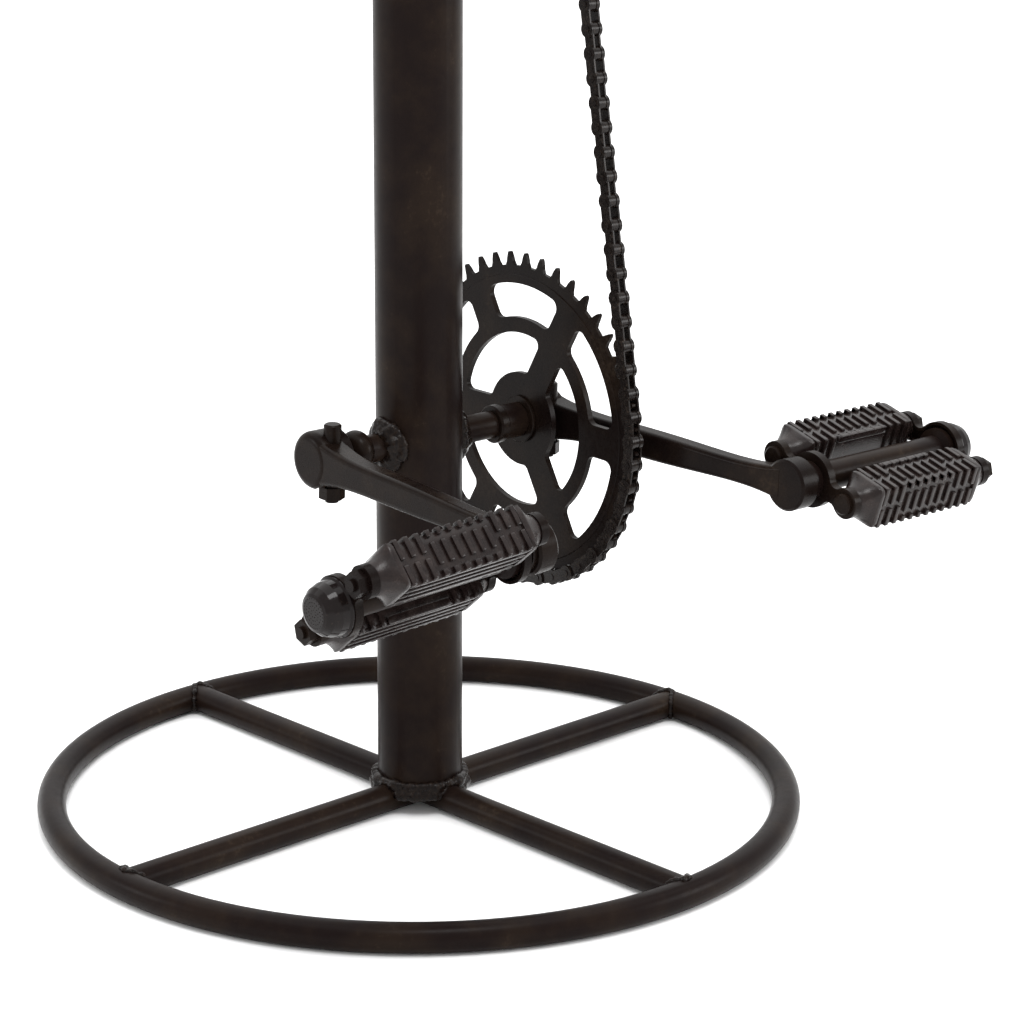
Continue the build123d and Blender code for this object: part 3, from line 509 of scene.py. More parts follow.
def path_object(name: str, points: list[Point], closed: bool) -> bpy.types.Object:
    """Make a path of edges for the row tree to follow.

    Args:
        name: The object's name.
        points: The path's points in order.
        closed: Whether the last point joins the first.

    Returns:
        The path object.
    """
    edges = [(index, index + 1) for index in range(len(points) - 1)]
    if closed:
        edges.append((len(points) - 1, 0))
    return mesh_object(name, points, [], edges)


def baked(source: bpy.types.Object, name: str) -> bpy.types.Object:
    """Turn an object with modifiers into a plain mesh object.

    Args:
        source: The object whose modifiers are to be applied; it is removed.
        name: Name of the result.

    Returns:
        The plain mesh object.
    """
    bpy.context.view_layer.update()
    graph = bpy.context.evaluated_depsgraph_get()
    mesh = bpy.data.meshes.new_from_object(source.evaluated_get(graph), depsgraph=graph)
    mesh.name = name
    source.modifiers.clear()
    bpy.data.objects.remove(source)
    made = bpy.data.objects.new(name, mesh)
    bpy.context.scene.collection.objects.link(made)
    return made


def joined(name: str, objects: list[bpy.types.Object]) -> bpy.types.Object:
    """Join plain mesh objects into one.

    Args:
        name: Name of the result.
        objects: Objects that are consumed.

    Returns:
        One mesh object that keeps every material.
    """
    whole = bmesh.new()
    materials: list[bpy.types.Material] = []
    for item in objects:
        start = len(whole.faces)
        whole.from_mesh(item.data)
        whole.faces.ensure_lookup_table()
        numbers = []
        for material in item.data.materials:
            if material not in materials:
                materials.append(material)
            numbers.append(materials.index(material))
        for face in whole.faces[start:]:
            face.material_index = numbers[min(face.material_index, len(numbers) - 1)] if numbers else 0
        bpy.data.objects.remove(item)
    mesh = bpy.data.meshes.new(name)
    whole.to_mesh(mesh)
    whole.free()
    for material in materials:
        mesh.materials.append(material)
    made = bpy.data.objects.new(name, mesh)
    bpy.context.scene.collection.objects.link(made)
    return made


def soften(piece: bpy.types.Object) -> bpy.types.Object:
    """Shade every face smooth."""
    piece.data.polygons.foreach_set("use_smooth", [True] * len(piece.data.polygons))
    return piece


# ---------------------------------------------------------------- geometry trees


class GeometryRecipe(NodeTree):
    """A Geometry Nodes tree with named inputs, built once and used by many pieces."""

    def __init__(self, name: str) -> None:
        """Start a tree with a geometry input and output.

        Args:
            name: The tree's name.
        """
        self.group = bpy.data.node_groups.new(name, "GeometryNodeTree")
        super().__init__(self.group)
        self.group.interface.new_socket("Geometry", in_out="INPUT", socket_type="NodeSocketGeometry")
        self.group.interface.new_socket("Geometry", in_out="OUTPUT", socket_type="NodeSocketGeometry")
        self.keys: dict[str, str] = {}

    def value(self, name: str, kind: str, default: object = None) -> None:
        """Add a named input.

        Args:
            name: The input's name.
            kind: Float, Int, Vector, Object or Material.
            default: Its value where a piece gives none.
        """
        made = self.group.interface.new_socket(
            name, in_out="INPUT", socket_type="NodeSocket" + kind
        )
        if default is not None:
            made.default_value = default
        self.keys[name] = made.identifier

    def apply(self, target: bpy.types.Object, name: str, **values: object) -> bpy.types.Object:
        """Run the tree on an object and keep the plain mesh.

        Args:
            target: The object whose geometry feeds the tree; it is removed.
            name: Name of the result.
            **values: Input values by name.

        Returns:
            The plain mesh object.
        """
        modifier = target.modifiers.new("recipe", "NODES")
        modifier.node_group = self.group
        for key, value in values.items():
            modifier[self.keys[key]] = value
        return baked(target, name)


class BeadRow(GeometryRecipe):
    """Flattened beads in a row along a path: weld ripples, rivets and knurl dots."""

    def __init__(self) -> None:
        """Build the tree."""
        super().__init__("bead_row")
        self.value("Spacing", "Float", 0.002)
        self.value("Along", "Float", 0.002)
        self.value("Across", "Float", 0.003)
        self.value("Height", "Float", 0.002)
        self.value("Uneven", "Float", 0.2)
        self.value("Seed", "Int", 1)
        self.value("Material", "Material")
        given = self.node("NodeGroupInput").outputs
        curve = self.node("GeometryNodeMeshToCurve", inputs={"Mesh": given["Geometry"]})
        points = self.node(
            "GeometryNodeResampleCurve",
            {"mode": "LENGTH"},
            {"Curve": curve.outputs[0], "Length": given["Spacing"]},
        )
        tangent = self.node("GeometryNodeInputTangent")
        turn = self.node(
            "FunctionNodeAlignRotationToVector", {"axis": "X"}, {"Vector": tangent.outputs[0]}
        )
        size = self.node(
            "ShaderNodeCombineXYZ",
            inputs={0: given["Along"], 1: given["Across"], 2: given["Height"]},
        )
        one = Num(self, given["Uneven"])
        chance = self.node(
            "FunctionNodeRandomValue",
            {"data_type": "FLOAT"},
            {2: 1 - one, 3: 1 + one, "Seed": given["Seed"]},
        )
        scale = self.node(
            "ShaderNodeVectorMath",
            {"operation": "SCALE"},
            {0: size.outputs[0], "Scale": chance.outputs[1]},
        )
        bead = self.node("GeometryNodeMeshIcoSphere", inputs={"Radius": 1.0, "Subdivisions": 3})
        placed = self.node(
            "GeometryNodeInstanceOnPoints",
            inputs={
                "Points": points.outputs[0],
                "Instance": bead.outputs[0],
                "Rotation": turn.outputs[0],
                "Scale": scale.outputs[0],
            },
        )
        real = self.node("GeometryNodeRealizeInstances", inputs={0: placed.outputs[0]})
        smooth = self.node("GeometryNodeSetShadeSmooth", inputs={0: real.outputs[0]})
        painted = self.node(
            "GeometryNodeSetMaterial",
            inputs={0: smooth.outputs[0], "Material": given["Material"]},
        )
        self.node("NodeGroupOutput", inputs={0: painted.outputs[0]})


class RibLadder(GeometryRecipe):
    """Raised bars in a straight ladder: one row of a pedal rubber's pattern."""

    def __init__(self) -> None:
        """Build the tree."""
        super().__init__("rib_ladder")
        self.value("Count", "Int", 3)
        self.value("Pitch", "Float", 0.006)
        self.value("Bar", "Object")
        self.value("Stretch", "Vector", (1.0, 1.0, 1.0))
        self.value("Material", "Material")
        given = self.node("NodeGroupInput").outputs
        step = self.node("ShaderNodeCombineXYZ", inputs={0: 0.0, 1: given["Pitch"], 2: 0.0})
        line = self.node(
            "GeometryNodeMeshLine",
            {"mode": "OFFSET"},
            {"Count": given["Count"], "Offset": step.outputs[0]},
        )
        bar = self.node("GeometryNodeObjectInfo", inputs={"Object": given["Bar"]})
        placed = self.node(
            "GeometryNodeInstanceOnPoints",
            inputs={
                "Points": line.outputs[0],
                "Instance": bar.outputs["Geometry"],
                "Scale": given["Stretch"],
            },
        )
        real = self.node("GeometryNodeRealizeInstances", inputs={0: placed.outputs[0]})
        painted = self.node(
            "GeometryNodeSetMaterial", inputs={0: real.outputs[0], "Material": given["Material"]}
        )
        self.node("NodeGroupOutput", inputs={0: painted.outputs[0]})


# ---------------------------------------------------------------- sub-assemblies


@dataclass
class SteelWork:
    """The CAD pieces that keep their shape and take a finish; cranks, plates, chainring and small fittings take
    a darker copy of the stove paint as painted shade.
    """

    tube_paint: bpy.types.Material
    shade_darkened_paint: bpy.types.Material
    chain: bpy.types.Material
    enamel: bpy.types.Material
    hide: bpy.types.Material
    # Parts that take the darker copy of the same stove paint: painted shade that holds down the lamp light on
    # their faces.
    shade_darkened_parts: tuple[str, ...] = ("crank", "plate", "chainring", "nut", "bolt", "pin", "ring", "washer")

    def finish_for(self, name: str) -> bpy.types.Material:
        """Pick the finish of one CAD node.

        Args:
            name: The node's name.

        Returns:
            Its material.
        """
        if name.startswith("chain_"):
            return self.chain
        if name.endswith("dust_cap"):
            return self.enamel
        if name == "saddle_leather":
            return self.hide
        # Same stove paint, darkened for these parts: painted shade.
        if name != "base_ring" and any(word in name for word in self.shade_darkened_parts):
            return self.shade_darkened_paint
        return self.tube_paint

    def dress(self, nodes: dict[str, bpy.types.Object]) -> None:
        """Give every carried-over node its material.

        Args:
            nodes: CAD nodes by name.
        """
        for name, node in nodes.items():
            for index in range(len(node.data.materials)):
                node.data.materials[index] = self.finish_for(name)


@dataclass
class Welds:
    """Lumpy beads where bars, column and tubes are joined."""

    beads: BeadRow
    material: bpy.types.Material
    ring_radius: float
    bar_radius: float
    column_radius: float
    axle_height: float
    stub_height: float
    stub_place: float
    cross_turn: float = math.radians(3.0)
    housing_radius: float = 0.0075

    def bead(
        self, name: str, points: list[Point], closed: bool, size: float, seed: int, uneven: float = 0.22
    ) -> bpy.types.Object:
        """Lay one bead of weld ripples.

        Args:
            name: Name of the bead.
            points: Path of the bead's middle.
            closed: Whether the bead runs all the way round.
            size: Half width of the bead in metres.
            seed: Seed of its unevenness.
            uneven: How much the ripples differ in size.

        Returns:
            The bead as a plain mesh.
        """
        return self.beads.apply(
            path_object(name + "_path", points, closed),
            name,
            Spacing=size * 0.62,
            Along=size * 0.75,
            Across=size,
            Height=size * 0.85,
            Uneven=uneven,
            Seed=seed,
            Material=self.material,
        )

    def melt(self, beads: bpy.types.Object, name: str, grain: float) -> bpy.types.Object:
        """Run separate beads together into one lump of weld metal.

        Args:
            beads: The beads; they are consumed.
            name: Name of the lump.
            grain: Size of the smallest ripple that stays.

        Returns:
            One closed mesh.
        """
        voxels = beads.modifiers.new("melt", "REMESH")
        voxels.mode = "VOXEL"
        voxels.voxel_size = grain
        flow = beads.modifiers.new("flow", "SMOOTH")
        flow.factor = 0.5
        flow.iterations = 2
        lump = baked(beads, name)
        lump.data.materials.clear()
        lump.data.materials.append(self.material)
        return soften(lump)

    def foot(self) -> bpy.types.Object:
        """Weld round the column's foot: a fill between the bars, a bead over it and lumps on the bars."""
        fill = self.foot_row(self.column_radius + 0.0002, 1.5 * self.bar_radius, 0.0044, 0.12)
        bead = self.foot_row(self.column_radius + 0.0008, 2.15 * self.bar_radius, 0.0025, 0.4)
        rows = [fill, bead]
        lumps = ((-0.34, 0.0036), (-0.06, 0.0030), (0.24, 0.0040))
        for index in range(4):
            for number, (turned, size) in enumerate(lumps):
                angle = self.cross_turn + index * math.pi / 2 + turned
                reach = self.column_radius + 0.0008
                start = (reach * math.cos(angle), reach * math.sin(angle), 2 * self.bar_radius + 0.0004)
                end = (start[0] * 1.01, start[1] * 1.01, start[2] + 0.0006)
                seed = 40 + index * len(lumps) + number
                rows.append(self.bead("weld_lump", [start, end], False, size, seed, 0.3))
        return joined("foot_beads", rows)

    def foot_row(self, reach: float, height: float, size: float, uneven: float) -> bpy.types.Object:
        """One level row of weld round the column's foot.

        Args:
            reach: Radius of the row.
            height: Height of the row.
            size: Half width of the row.
            uneven: How much its ripples differ in size.

        Returns:
            The row.
        """
        turns = [math.tau * index / 96 for index in range(96)]
        points = [(reach * math.cos(turn), reach * math.sin(turn), height) for turn in turns]
        return self.bead("weld_foot", points, True, size, 3, uneven)

    def ring_joint(self, index: int) -> bpy.types.Object:
        """Bead where one cross bar meets the ring, over its upper side.

        Args:
            index: Which of the four bars.

        Returns:
            The bead.
        """
        angle = self.cross_turn + index * math.pi / 2
        out = Vector((math.cos(angle), math.sin(angle), 0.0))
        side = Vector((-out.y, out.x, 0.0))
        points = []
        for step in range(33):
            turn = math.radians(-35 + 250 * step / 32)
            across = (self.bar_radius + 0.0004) * math.cos(turn)
            rise = self.bar_radius + (self.bar_radius + 0.0004) * math.sin(turn)
            reach = self.ring_radius - math.sqrt(max(self.bar_radius**2 - (rise - self.bar_radius) ** 2, 0.0))
            place = out * (reach - 0.0005) + side * across
            points.append((place.x, place.y, rise))
        return self.bead(f"weld_ring_{index}", points, False, 0.0017, 10 + index, 0.35)

    def collar(
        self, name: str, side: float, place: float, height: float, inner: float, size: float, seed: int
    ) -> bpy.types.Object:
        """Bead round a tube that stands out of the column's side.

        Args:
            name: Name of the bead.
            side: +1 for the chainring side, -1 for the other.
            place: X of the tube's axis.
            height: Height of the tube's axis.
            inner: Radius of the bead's middle line about the tube.
            size: Half width of the bead.
            seed: Seed of its unevenness.

        Returns:
            The bead.
        """
        points = []
        for index in range(64):
            turn = math.tau * index / 64
            across = place + inner * math.cos(turn)
            reach = math.sqrt(self.column_radius**2 - across**2) + size * 0.25
            points.append((across, side * reach, height + inner * math.sin(turn)))
        return self.bead(name, points, True, size, seed)

    def build(self) -> list[tuple[bpy.types.Object, Body, Slot]]:
        """Make every bead; all of them belong to the frame."""
        pieces = [self.melt(self.foot(), "weld_foot", 0.0007)]
        ring_joints = joined("ring_beads", [self.ring_joint(index) for index in range(4)])
        pieces.append(self.melt(ring_joints, "weld_ring_joints", 0.0006))
        for name, side, seed in (("left", -1.0, 5), ("right", 1.0, 6)):
            near = self.housing_radius + 0.0010
            rows = [
                self.collar("axle_bead_a", side, 0.0, self.axle_height, near, 0.0052, seed),
                self.collar("axle_bead_b", side, 0.0, self.axle_height, near + 0.0036, 0.0034, seed + 20),
            ]
            pieces.append(self.melt(joined("axle_beads", rows), f"weld_axle_{name}", 0.0007))
        stub = self.collar("stub_bead", 1.0, self.stub_place, self.stub_height, 0.0100, 0.0028, 9)
        pieces.append(self.melt(stub, "weld_stub", 0.0007))
        return [(piece, Body.FRAME, Slot.STEEL) for piece in pieces]


class BlockFace(Enum):
    """Patterns moulded on the sides of a pedal rubber."""

    RIBS = "ribs"
    POCKET = "pocket"
    FINS = "fins"


@dataclass
class PedalRubbers:
    """Ribbed rubber blocks of one pedal, in place of the plain CAD blocks."""

    ladder: RibLadder
    rubber: bpy.types.Material
    body: Body
    side: str
    outwards: float
    place: Matrix
    start: float = 0.011
    length: float = 0.095
    neck: float = 0.0085
    shoulder: float = 0.0032
    size: float = 0.0232
    core: float = 0.0206
    tip: float = 0.0078
    ribs: int = 12
    end_ribs: int = 3
    rib_width: float = 0.0025
    offset: float = 0.026

    def section(self, y: float, half: float, square: float, count: int = 40) -> list[Point]:
        """One cross-section between a circle and a rounded square.

        Args:
            y: Distance along the block.
            half: Half width.
            square: 0 for a circle, 1 for a rounded square.
            count: Points round the section.

        Returns:
            The section's points.
        """
        power = 2.0 + 10.0 * square
        points = []
        for index in range(count):
            turn = math.tau * index / count
            c, s = math.cos(turn), math.sin(turn)
            reach = half / (abs(c) ** power + abs(s) ** power) ** (1.0 / power)
            points.append((reach * c, y, reach * s))
        return points

    def half_profile(self) -> list[tuple[float, float, float]]:
        """Distance from the end, half width and squareness along one end of the block."""
        full = self.size / 2
        shoulder_end = self.neck + self.shoulder
        return [
            (0.0, self.tip * 0.55, 0.0),
            (0.0, self.tip * 0.93, 0.0),
            (0.0006, self.tip, 0.0),
            (self.neck * 0.35, self.tip * 1.06, 0.02),
            (self.neck * 0.80, full * 0.90, 0.12),
            (self.neck, full * 0.975, 0.45),
            (self.neck + 0.0005, full * 0.992, 0.9),
            (shoulder_end - 0.0003, full * 0.992, 1.0),
            (shoulder_end, full * 0.98, 1.0),
            (shoulder_end + 0.0002, self.core / 2, 1.0),
        ]

    def core_mesh(self) -> bpy.types.Object:
        """Smooth body of the block with its necks and shoulders."""
        end = self.start + self.length
        profile = self.half_profile()
        stations = [(self.start + along, half, square) for along, half, square in profile]
        stations += [(end - along, half, square) for along, half, square in reversed(profile)]
        rings = [self.section(*station) for station in stations]
        count = len(rings[0])
        vertices = [point for ring in rings for point in ring]
        faces = [tuple(range(count))]
        for row in range(len(rings) - 1):
            for index in range(count):
                after = (index + 1) % count
                near, far = row * count, (row + 1) * count
                faces.append((near + index, far + index, far + after, near + after))
        faces.append(tuple((len(rings) - 1) * count + index for index in reversed(range(count))))
        made = mesh_object("block_core", vertices, faces)
        made.data.materials.append(self.rubber)
        turned = bmesh.new()
        turned.from_mesh(made.data)
        bmesh.ops.recalc_face_normals(turned, faces=turned.faces)
        turned.to_mesh(made.data)
        turned.free()
        soften(made)
        made.data.set_sharp_from_angle(angle=math.radians(50))
        return made

    def bar(self) -> bpy.types.Object:
        """Unit raised bar with eased edges, one metre each way before it is stretched."""
        block = bmesh.new()
        bmesh.ops.create_cube(block, size=1.0)
        bmesh.ops.bevel(block, geom=block.edges[:], offset=0.10, segments=2, profile=0.6, affect="EDGES")
        mesh = bpy.data.meshes.new("rib_bar")
        block.to_mesh(mesh)
        block.free()
        made = bpy.data.objects.new("rib_bar", mesh)
        bpy.context.scene.collection.objects.link(made)
        return soften(made)

    def rows(self, face: BlockFace) -> list[tuple[int, int, float, float, float]]:
        """Bars of one face as first rib, number of ribs, place across, width across and length.

        Args:
            face: The pattern.

        Returns:
            One entry for each row of equal bars.
        """
        half = self.size / 2 - 0.0001
        groove = 0.0013
        middle = self.ribs - 2 * self.end_ribs
        last = self.ribs - self.end_ribs
        layout = []
        if face is BlockFace.FINS:
            whole = self.length - 2 * (self.neck + self.shoulder) - 0.001
            for place in (-3, -1, 1, 3):
                layout.append((-1, 1, place * half / 4, half / 5, whole))
            return layout
        if face is BlockFace.POCKET:
            for first in (0, last):
                layout.append((first, self.end_ribs, 0.0, 2 * half, self.rib_width))
            rail = 0.0038
            for side in (1.0, -1.0):
                layout.append((-1, 1, side * (half - rail / 2), rail, middle * self.pitch()))
            return layout
        for side in (1.0, -1.0):
            for first in (0, last):
                layout.append((first, self.end_ribs, side * (groove + half) / 2, half - groove, self.rib_width))
            layout.append((self.end_ribs, middle, side * (half - 0.0016), 0.0032, self.rib_width))
        layout.append((self.end_ribs, middle, 0.0, 0.0112, self.rib_width))
        return layout

    def pitch(self) -> float:
        """Distance from rib to rib."""
        run = self.length - 2 * (self.neck + self.shoulder)
        return (run - self.rib_width - 0.0008) / (self.ribs - 1)

    def face_bars(self, bar: bpy.types.Object, face: BlockFace) -> list[bpy.types.Object]:
        """Bars of one face, lying on its +Z side.

        Args:
            bar: The unit bar.
            face: The pattern.

        Returns:
            One plain mesh for each row.
        """
        first_rib = self.start + self.neck + self.shoulder + 0.0004 + self.rib_width / 2
        tall = (self.size - self.core) / 2 + 0.0012
        level = self.size / 2 - tall / 2
        made = []
        for first, count, across, reach, length in self.rows(face):
            row = self.ladder.apply(
                mesh_object("rib_row", [(0.0, 0.0, 0.0)], []),
                "rib_row",
                Count=count,
                Pitch=self.pitch(),
                Bar=bar,
                Stretch=(reach, length, tall),
                Material=self.rubber,
            )
            along = first_rib + self.pitch() * first
            if first < 0:
                along = self.start + self.length / 2
            row.data.transform(Matrix.Translation((across, along, level)))
            made.append(row)
        return made

    def block(self, name: str, offset: float) -> bpy.types.Object:
        """One whole block in its place on the stool.

        Args:
            name: Name of the piece.
            offset: Distance of the block's axis from the barrel, signed.

        Returns:
            The finished block.
        """
        bar = self.bar()
        outer, inner = BlockFace.RIBS, BlockFace.POCKET
        if offset < 0:
            outer, inner = inner, outer
        parts = [self.core_mesh()]
        for quarter, face in enumerate((BlockFace.RIBS, outer, BlockFace.FINS, inner)):
            turn = Matrix.Rotation(math.pi / 2 * quarter, 4, "Y")
            for row in self.face_bars(bar, face):
                row.data.transform(turn)
                parts.append(row)
        bpy.data.objects.remove(bar)
        piece = joined(name, parts)
        flip = Matrix.Diagonal((1.0, self.outwards, 1.0, 1.0))
        piece.data.transform(self.place @ flip @ Matrix.Translation((offset, 0.0, 0.0)))
        if self.outwards < 0:
            piece.data.flip_normals()
        return piece

    def build(self) -> list[tuple[bpy.types.Object, Body, Slot]]:
        """Make both blocks and take the plain ones out of sight."""
        made = []
        for where, offset in (("front", self.offset), ("rear", -self.offset)):
            piece = self.block(f"{self.side}_rubber_{where}", offset)
            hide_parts(f"{self.side}_pedal_{where}_block")
            made.append((piece, self.body, Slot.RUBBER))
        return made


@dataclass
class CapKnurl:
    """Raised dots pressed into the end of one dust cap."""

    beads: BeadRow
    material: bpy.types.Material
    body: Body
    side: str
    outwards: float
    place: Matrix
    face: float = 0.1231
    rings: int = 4
    pitch: float = 0.00175

    def build(self) -> list[tuple[bpy.types.Object, Body, Slot]]:
        """Make the rings of dots."""
        rows = []
        for ring in range(1, self.rings + 1):
            radius = ring * self.pitch
            points = []
            for index in range(48):
                turn = math.tau * index / 48
                points.append((radius * math.cos(turn), self.face, radius * math.sin(turn)))
            rows.append(
                self.beads.apply(
                    path_object("knurl_path", points, True),
                    "knurl_row",
                    Spacing=self.pitch,
                    Along=0.00045,
                    Across=0.00045,
                    Height=0.00040,
                    Uneven=0.1,
                    Seed=ring,
                    Material=self.material,
                )
            )
        piece = joined(f"{self.side}_cap_knurl", rows)
        flip = Matrix.Diagonal((1.0, self.outwards, 1.0, 1.0))
        piece.data.transform(self.place @ flip)
        if self.outwards < 0:
            piece.data.flip_normals()
        return [(piece, self.body, Slot.CAP)]


@dataclass(frozen=True)
class SaddleStation:
    """One cross-section of the saddle: place along it, half width, depth and rise of its crown."""

    along: float
    half: float
    drop: float
    rise: float


@dataclass
class Saddle:
    """Leather top stretched over its frame, closed round the nose and the rear edge, with rivets."""

    beads: BeadRow
    hide: bpy.types.Material
    copper: bpy.types.Material
    top: float = 0.752
    thickness: float = 0.004
    end_rounding: float = 0.016
    squareness: float = 3.2
    rows: int = 120
    columns: int = 64
    stations: tuple[SaddleStation, ...] = (
        SaddleStation(-0.128, 0.078, 0.040, -0.006),
        SaddleStation(-0.112, 0.097, 0.050, 0.000),
        SaddleStation(-0.070, 0.102, 0.054, 0.0015),
        SaddleStation(-0.020, 0.075, 0.052, -0.004),
        SaddleStation(0.040, 0.040, 0.050, -0.008),
        SaddleStation(0.100, 0.027, 0.046, -0.006),
        SaddleStation(0.138, 0.023, 0.036, -0.009),
    )

    def station(self, along: float) -> SaddleStation:
        """Smoothly interpolated cross-section.

        Args:
            along: Place along the saddle.

        Returns:
            The cross-section there.
        """
        marks = self.stations
        index = max(0, min(len(marks) - 2, sum(mark.along <= along for mark in marks) - 1))
        low, high = marks[index], marks[index + 1]
        before, after = marks[max(index - 1, 0)], marks[min(index + 2, len(marks) - 1)]
        span = high.along - low.along
        share = (along - low.along) / span

        def curve(name: str) -> float:
            first, last = getattr(low, name), getattr(high, name)
            leave = (last - getattr(before, name)) / (high.along - before.along) * span
            arrive = (getattr(after, name) - first) / (after.along - low.along) * span
            square, cube = share**2, share**3
            return (
                (2 * cube - 3 * square + 1) * first
                + (cube - 2 * square + share) * leave
                + (3 * square - 2 * cube) * last
                + (cube - square) * arrive
            )

        return SaddleStation(along, curve("half"), curve("drop"), curve("rise"))

    def point(self, along: float, across: float) -> Point:
        """Point of the outer skin.

        Args:
            along: Place along the saddle.
            across: -1 at the left edge, 0 on the crown, 1 at the right edge.

        Returns:
            The point.
        """
        here = self.station(along)
        front, rear = self.stations[-1].along, self.stations[0].along
        inside = min(front - along, along - rear)
        short = max(0.0, 1.0 - inside / self.end_rounding)
        fall = (1.0 - short**2.4) ** (1 / 2.4)
        turn = across * math.pi / 2
        power = 2 / self.squareness
        wide = here.half * (0.80 + 0.20 * fall)
        aside = wide * math.copysign(abs(math.sin(turn)) ** power, turn)
        rise = here.drop * fall * abs(math.cos(turn)) ** power
        return (along, aside, self.top + here.rise - here.drop + rise)

    def places(self) -> list[float]:
        """Places of the cross-sections, closer together at both ends."""
        front, rear = self.stations[-1].along, self.stations[0].along
        middle, half = (front + rear) / 2, (front - rear) / 2
        steps = [math.pi * index / self.rows for index in range(self.rows + 1)]
        return [middle - half * math.cos(step) for step in steps]

    def skin(self) -> bpy.types.Object:
        """Outer skin thickened inwards to a closed shell with a rounded rim."""
        vertices = []
        for along in self.places():
            for index in range(self.columns + 1):
                vertices.append(self.point(along, 2 * index / self.columns - 1))
        wide = self.columns + 1
        faces = []
        for row in range(self.rows):
            for index in range(self.columns):
                corner = row * wide + index
                faces.append((corner, corner + wide, corner + wide + 1, corner + 1))
        shell = mesh_object("saddle_skin", vertices, faces)
        shell.data.materials.append(self.hide)
        leather = shell.modifiers.new("leather", "SOLIDIFY")
        leather.thickness = self.thickness
        leather.offset = -1.0
        return soften(baked(shell, "saddle_cover"))

    def rivets(self) -> bpy.types.Object:
        """Domed rivets round the rear edge and on the nose."""
        rear = self.stations[0].along + 0.0022
        front = self.stations[-1].along - 0.0016
        across = [self.point(rear, -0.72 + 1.44 * index / 24) for index in range(25)]
        nose = [self.point(front, -0.5 + index / 8) for index in range(9)]
        rows = []
        for name, path, spacing in (("rear", across, 0.0235), ("nose", nose, 0.0145)):
            rows.append(
                self.beads.apply(
                    path_object(name + "_rivet_path", path, False),
                    name + "_rivets",
                    Spacing=spacing,
                    Along=0.0042,
                    Across=0.0030,
                    Height=0.0042,
                    Uneven=0.02,
                    Seed=7,
                    Material=self.copper,
                )
            )
        return joined("saddle_rivets", rows)

    def build(self) -> list[tuple[bpy.types.Object, Body, Slot]]:
        """Make the cover in place of the plain one, and its rivets."""
        cover = self.skin()
        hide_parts("saddle_leather")
        return [(cover, Body.SEAT, Slot.HIDE), (self.rivets(), Body.SEAT, Slot.CAP)]


@dataclass
class Studio:
    """Pale floor, soft lights and the camera."""

    paper: bpy.types.Material
    lens: float = 100.8
    camera_place: Point = (1.1573, -0.9312, 0.5873)
    camera_aim: Point = (0.03255, 0.03778, 0.16578)
    camera_roll: float = 0.00605
    floor_half: float = 14.0

    def floor(self) -> None:
        """Lay the floor."""
        half = self.floor_half
        corners = [(-half, -half, 0.0), (half, -half, 0.0), (half, half, 0.0), (-half, half, 0.0)]
        floor = mesh_object("studio_floor", corners, [(0, 1, 2, 3)])
        floor.data.materials.append(self.paper)

    def lamp(self, name: str, place: Point, aim: Point, size: float, power: float) -> None:
        """Hang one soft square lamp.

        Args:
            name: The lamp's name.
            place: Where it hangs.
            aim: The point it faces.
            size: Side of the square in metres.
            power: Power in watts.
        """
        data = bpy.data.lights.new(name, "AREA")
        data.shape = "SQUARE"
        data.size = size
        data.energy = power
        lamp = bpy.data.objects.new(name, data)
        lamp.location = place
        facing = Vector(aim) - Vector(place)
        lamp.rotation_euler = facing.to_track_quat("-Z", "Y").to_euler()
        bpy.context.scene.collection.objects.link(lamp)

    def sun(self, name: str, direction: Point, strength: float) -> None:
        """Hang a very wide sun: the even light of a white ceiling.

        Args:
            name: The light's name.
            direction: Where it stands, as a direction.
            strength: Light on a surface that faces it.
        """
        data = bpy.data.lights.new(name, "SUN")
        data.energy = strength
        data.angle = math.radians(90.0)
        light = bpy.data.objects.new(name, data)
        light.rotation_euler = Vector(direction).to_track_quat("Z", "Y").to_euler()
        bpy.context.scene.collection.objects.link(light)

    def sky(self, strength: float) -> None:
        """Set the even light of the white room.

        Args:
            strength: Brightness of the surroundings.
        """
        world = bpy.data.worlds.new("white_room")
        world.use_nodes = True
        world.node_tree.nodes["Background"].inputs[0].default_value = (1.0, 1.0, 1.0, 1.0)
        world.node_tree.nodes["Background"].inputs[1].default_value = strength
        bpy.context.scene.world = world

    def camera(self) -> None:
        """Set up the camera."""
        data = bpy.data.cameras.new("studio_camera")
        data.lens = self.lens
        data.sensor_width = 36.0
        data.clip_start = 0.05
        data.clip_end = 60.0
        camera = bpy.data.objects.new("studio_camera", data)
        facing = (Vector(self.camera_aim) - Vector(self.camera_place)).to_track_quat("-Z", "Y")
        roll = Matrix.Rotation(self.camera_roll, 4, "Z")
        camera.matrix_world = (
            Matrix.Translation(self.camera_place) @ facing.to_matrix().to_4x4() @ roll
        )
        bpy.context.scene.collection.objects.link(camera)
        bpy.context.scene.camera = camera

    def build(self) -> None:
        """Make the whole studio."""
        self.floor()
        self.sky(1.1)
        middle = (0.0, 0.0, 0.3)
        self.sun("soft_top", (-0.25, 0.2, 1.0), 2.2)
        self.lamp("soft_left", (-1.6, -2.3, 0.9), middle, 0.7, 13.0)
        self.lamp("soft_right", (1.9, 1.9, 0.9), middle, 0.9, 24.0)
        self.lamp("soft_key", (0.9, -0.5, 2.3), middle, 0.7, 22.0)
        self.camera()
        bpy.context.scene.view_settings.view_transform = "Standard"


# ---------------------------------------------------------------- the stool


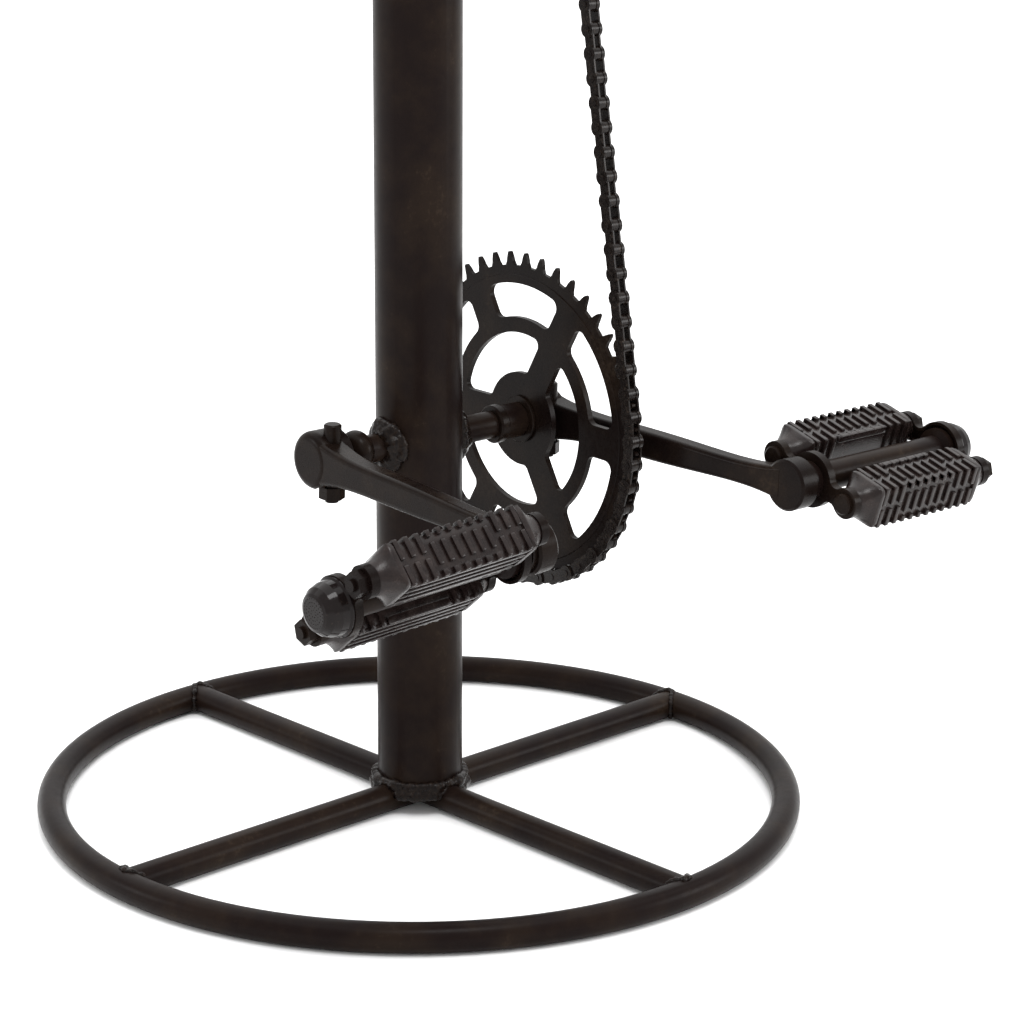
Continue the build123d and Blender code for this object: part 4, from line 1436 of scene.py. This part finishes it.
def pedal_place(joint: dict, eye_face: float, attitude: float) -> Matrix:
    """Matrix from a pedal's own frame to the stool's.

    Args:
        joint: The pedal's hinge in the record.
        eye_face: Y of the crank eye's outer face.
        attitude: The pedal's turn about its spindle in radians.

    Returns:
        The placing matrix; the pedal's own origin is on the spindle at the crank eye's outer face.
    """
    axis = Vector(joint["axis"]).normalized()
    point = Vector(joint["pos_m"])
    origin = point + axis * ((eye_face - point.y) / axis.y)
    tilt = Vector((0.0, 1.0, 0.0)).rotation_difference(axis).to_matrix().to_4x4()
    return Matrix.Translation(origin) @ tilt @ Matrix.Rotation(attitude, 4, "Y")


def corners(pair: tuple[Vector, Vector]) -> list[list[float]]:
    """Two corner vectors as plain lists."""
    return [list(pair[0]), list(pair[1])]


def build() -> None:
    """Build the looks round the CAD frame."""
    logging.basicConfig(level=logging.INFO, format="%(name)s: %(message)s")
    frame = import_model()
    enamel = CapEnamel().material()
    rubber = BlockRubber().material()
    hide = SaddleHide().material()
    SteelWork(
        tube_paint=StovePaint().material(),
        # A darker copy of the same stove paint: painted shade against the lamp light that falls on the crank
        # faces and other small parts.
        shade_darkened_paint=StovePaint(
            name="shade_darkened_paint",
            deep=(0.0048, 0.0029, 0.0025, 1.0),
            warm=(0.0100, 0.0062, 0.0043, 1.0),
            rough=0.28,
            sheen_level=0.05,
        ).material(),
        chain=OiledChain().material(),
        enamel=enamel,
        hide=hide,
    ).dress(frame["nodes"])
    LOG.info("dressed %d CAD nodes", len(frame["nodes"]))

    beads = BeadRow()
    ladder = RibLadder()
    ring_low, ring_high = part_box("base_ring")
    column_low, column_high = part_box("column")
    axle_low, axle_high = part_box("axle_housing")
    stub_low, stub_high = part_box("top_stub_axle")
    bar_radius = (ring_high.z - ring_low.z) / 2
    assemblies = [
        Welds(
            beads=beads,
            material=WeldScale().material(),
            ring_radius=(ring_high.x - ring_low.x) / 2 - bar_radius,
            bar_radius=bar_radius,
            column_radius=(column_high.x - column_low.x) / 2,
            axle_height=(axle_low.z + axle_high.z) / 2,
            stub_height=(stub_low.z + stub_high.z) / 2,
            stub_place=(stub_low.x + stub_high.x) / 2,
        )
    ]
    hinges = {joint["name"]: joint for joint in frame["record"]["behaviour"]["joints"]}
    pedals = (
        ("left", -1.0, Body.LEFT_PEDAL, -0.0785, math.radians(-39.0)),
        ("right", 1.0, Body.RIGHT_PEDAL, 0.111, math.radians(17.0)),
    )
    for side, outwards, body, eye_face, attitude in pedals:
        place = pedal_place(hinges[f"{side}_pedal_spin"], eye_face, attitude)
        assemblies.append(PedalRubbers(ladder, rubber, body, side, outwards, place))
        assemblies.append(CapKnurl(beads, enamel, body, side, outwards, place))
    assemblies.append(Saddle(beads, hide, RivetCopper().material()))

    for assembly in assemblies:
        for piece, body, slot in assembly.build():
            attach(piece, body.value)
            LOG.info("%s: %d faces on %s", piece.name, len(piece.data.polygons), body.value)

    Studio(paper=StudioPaper().material()).build()


if __name__ == "__main__":
    build()
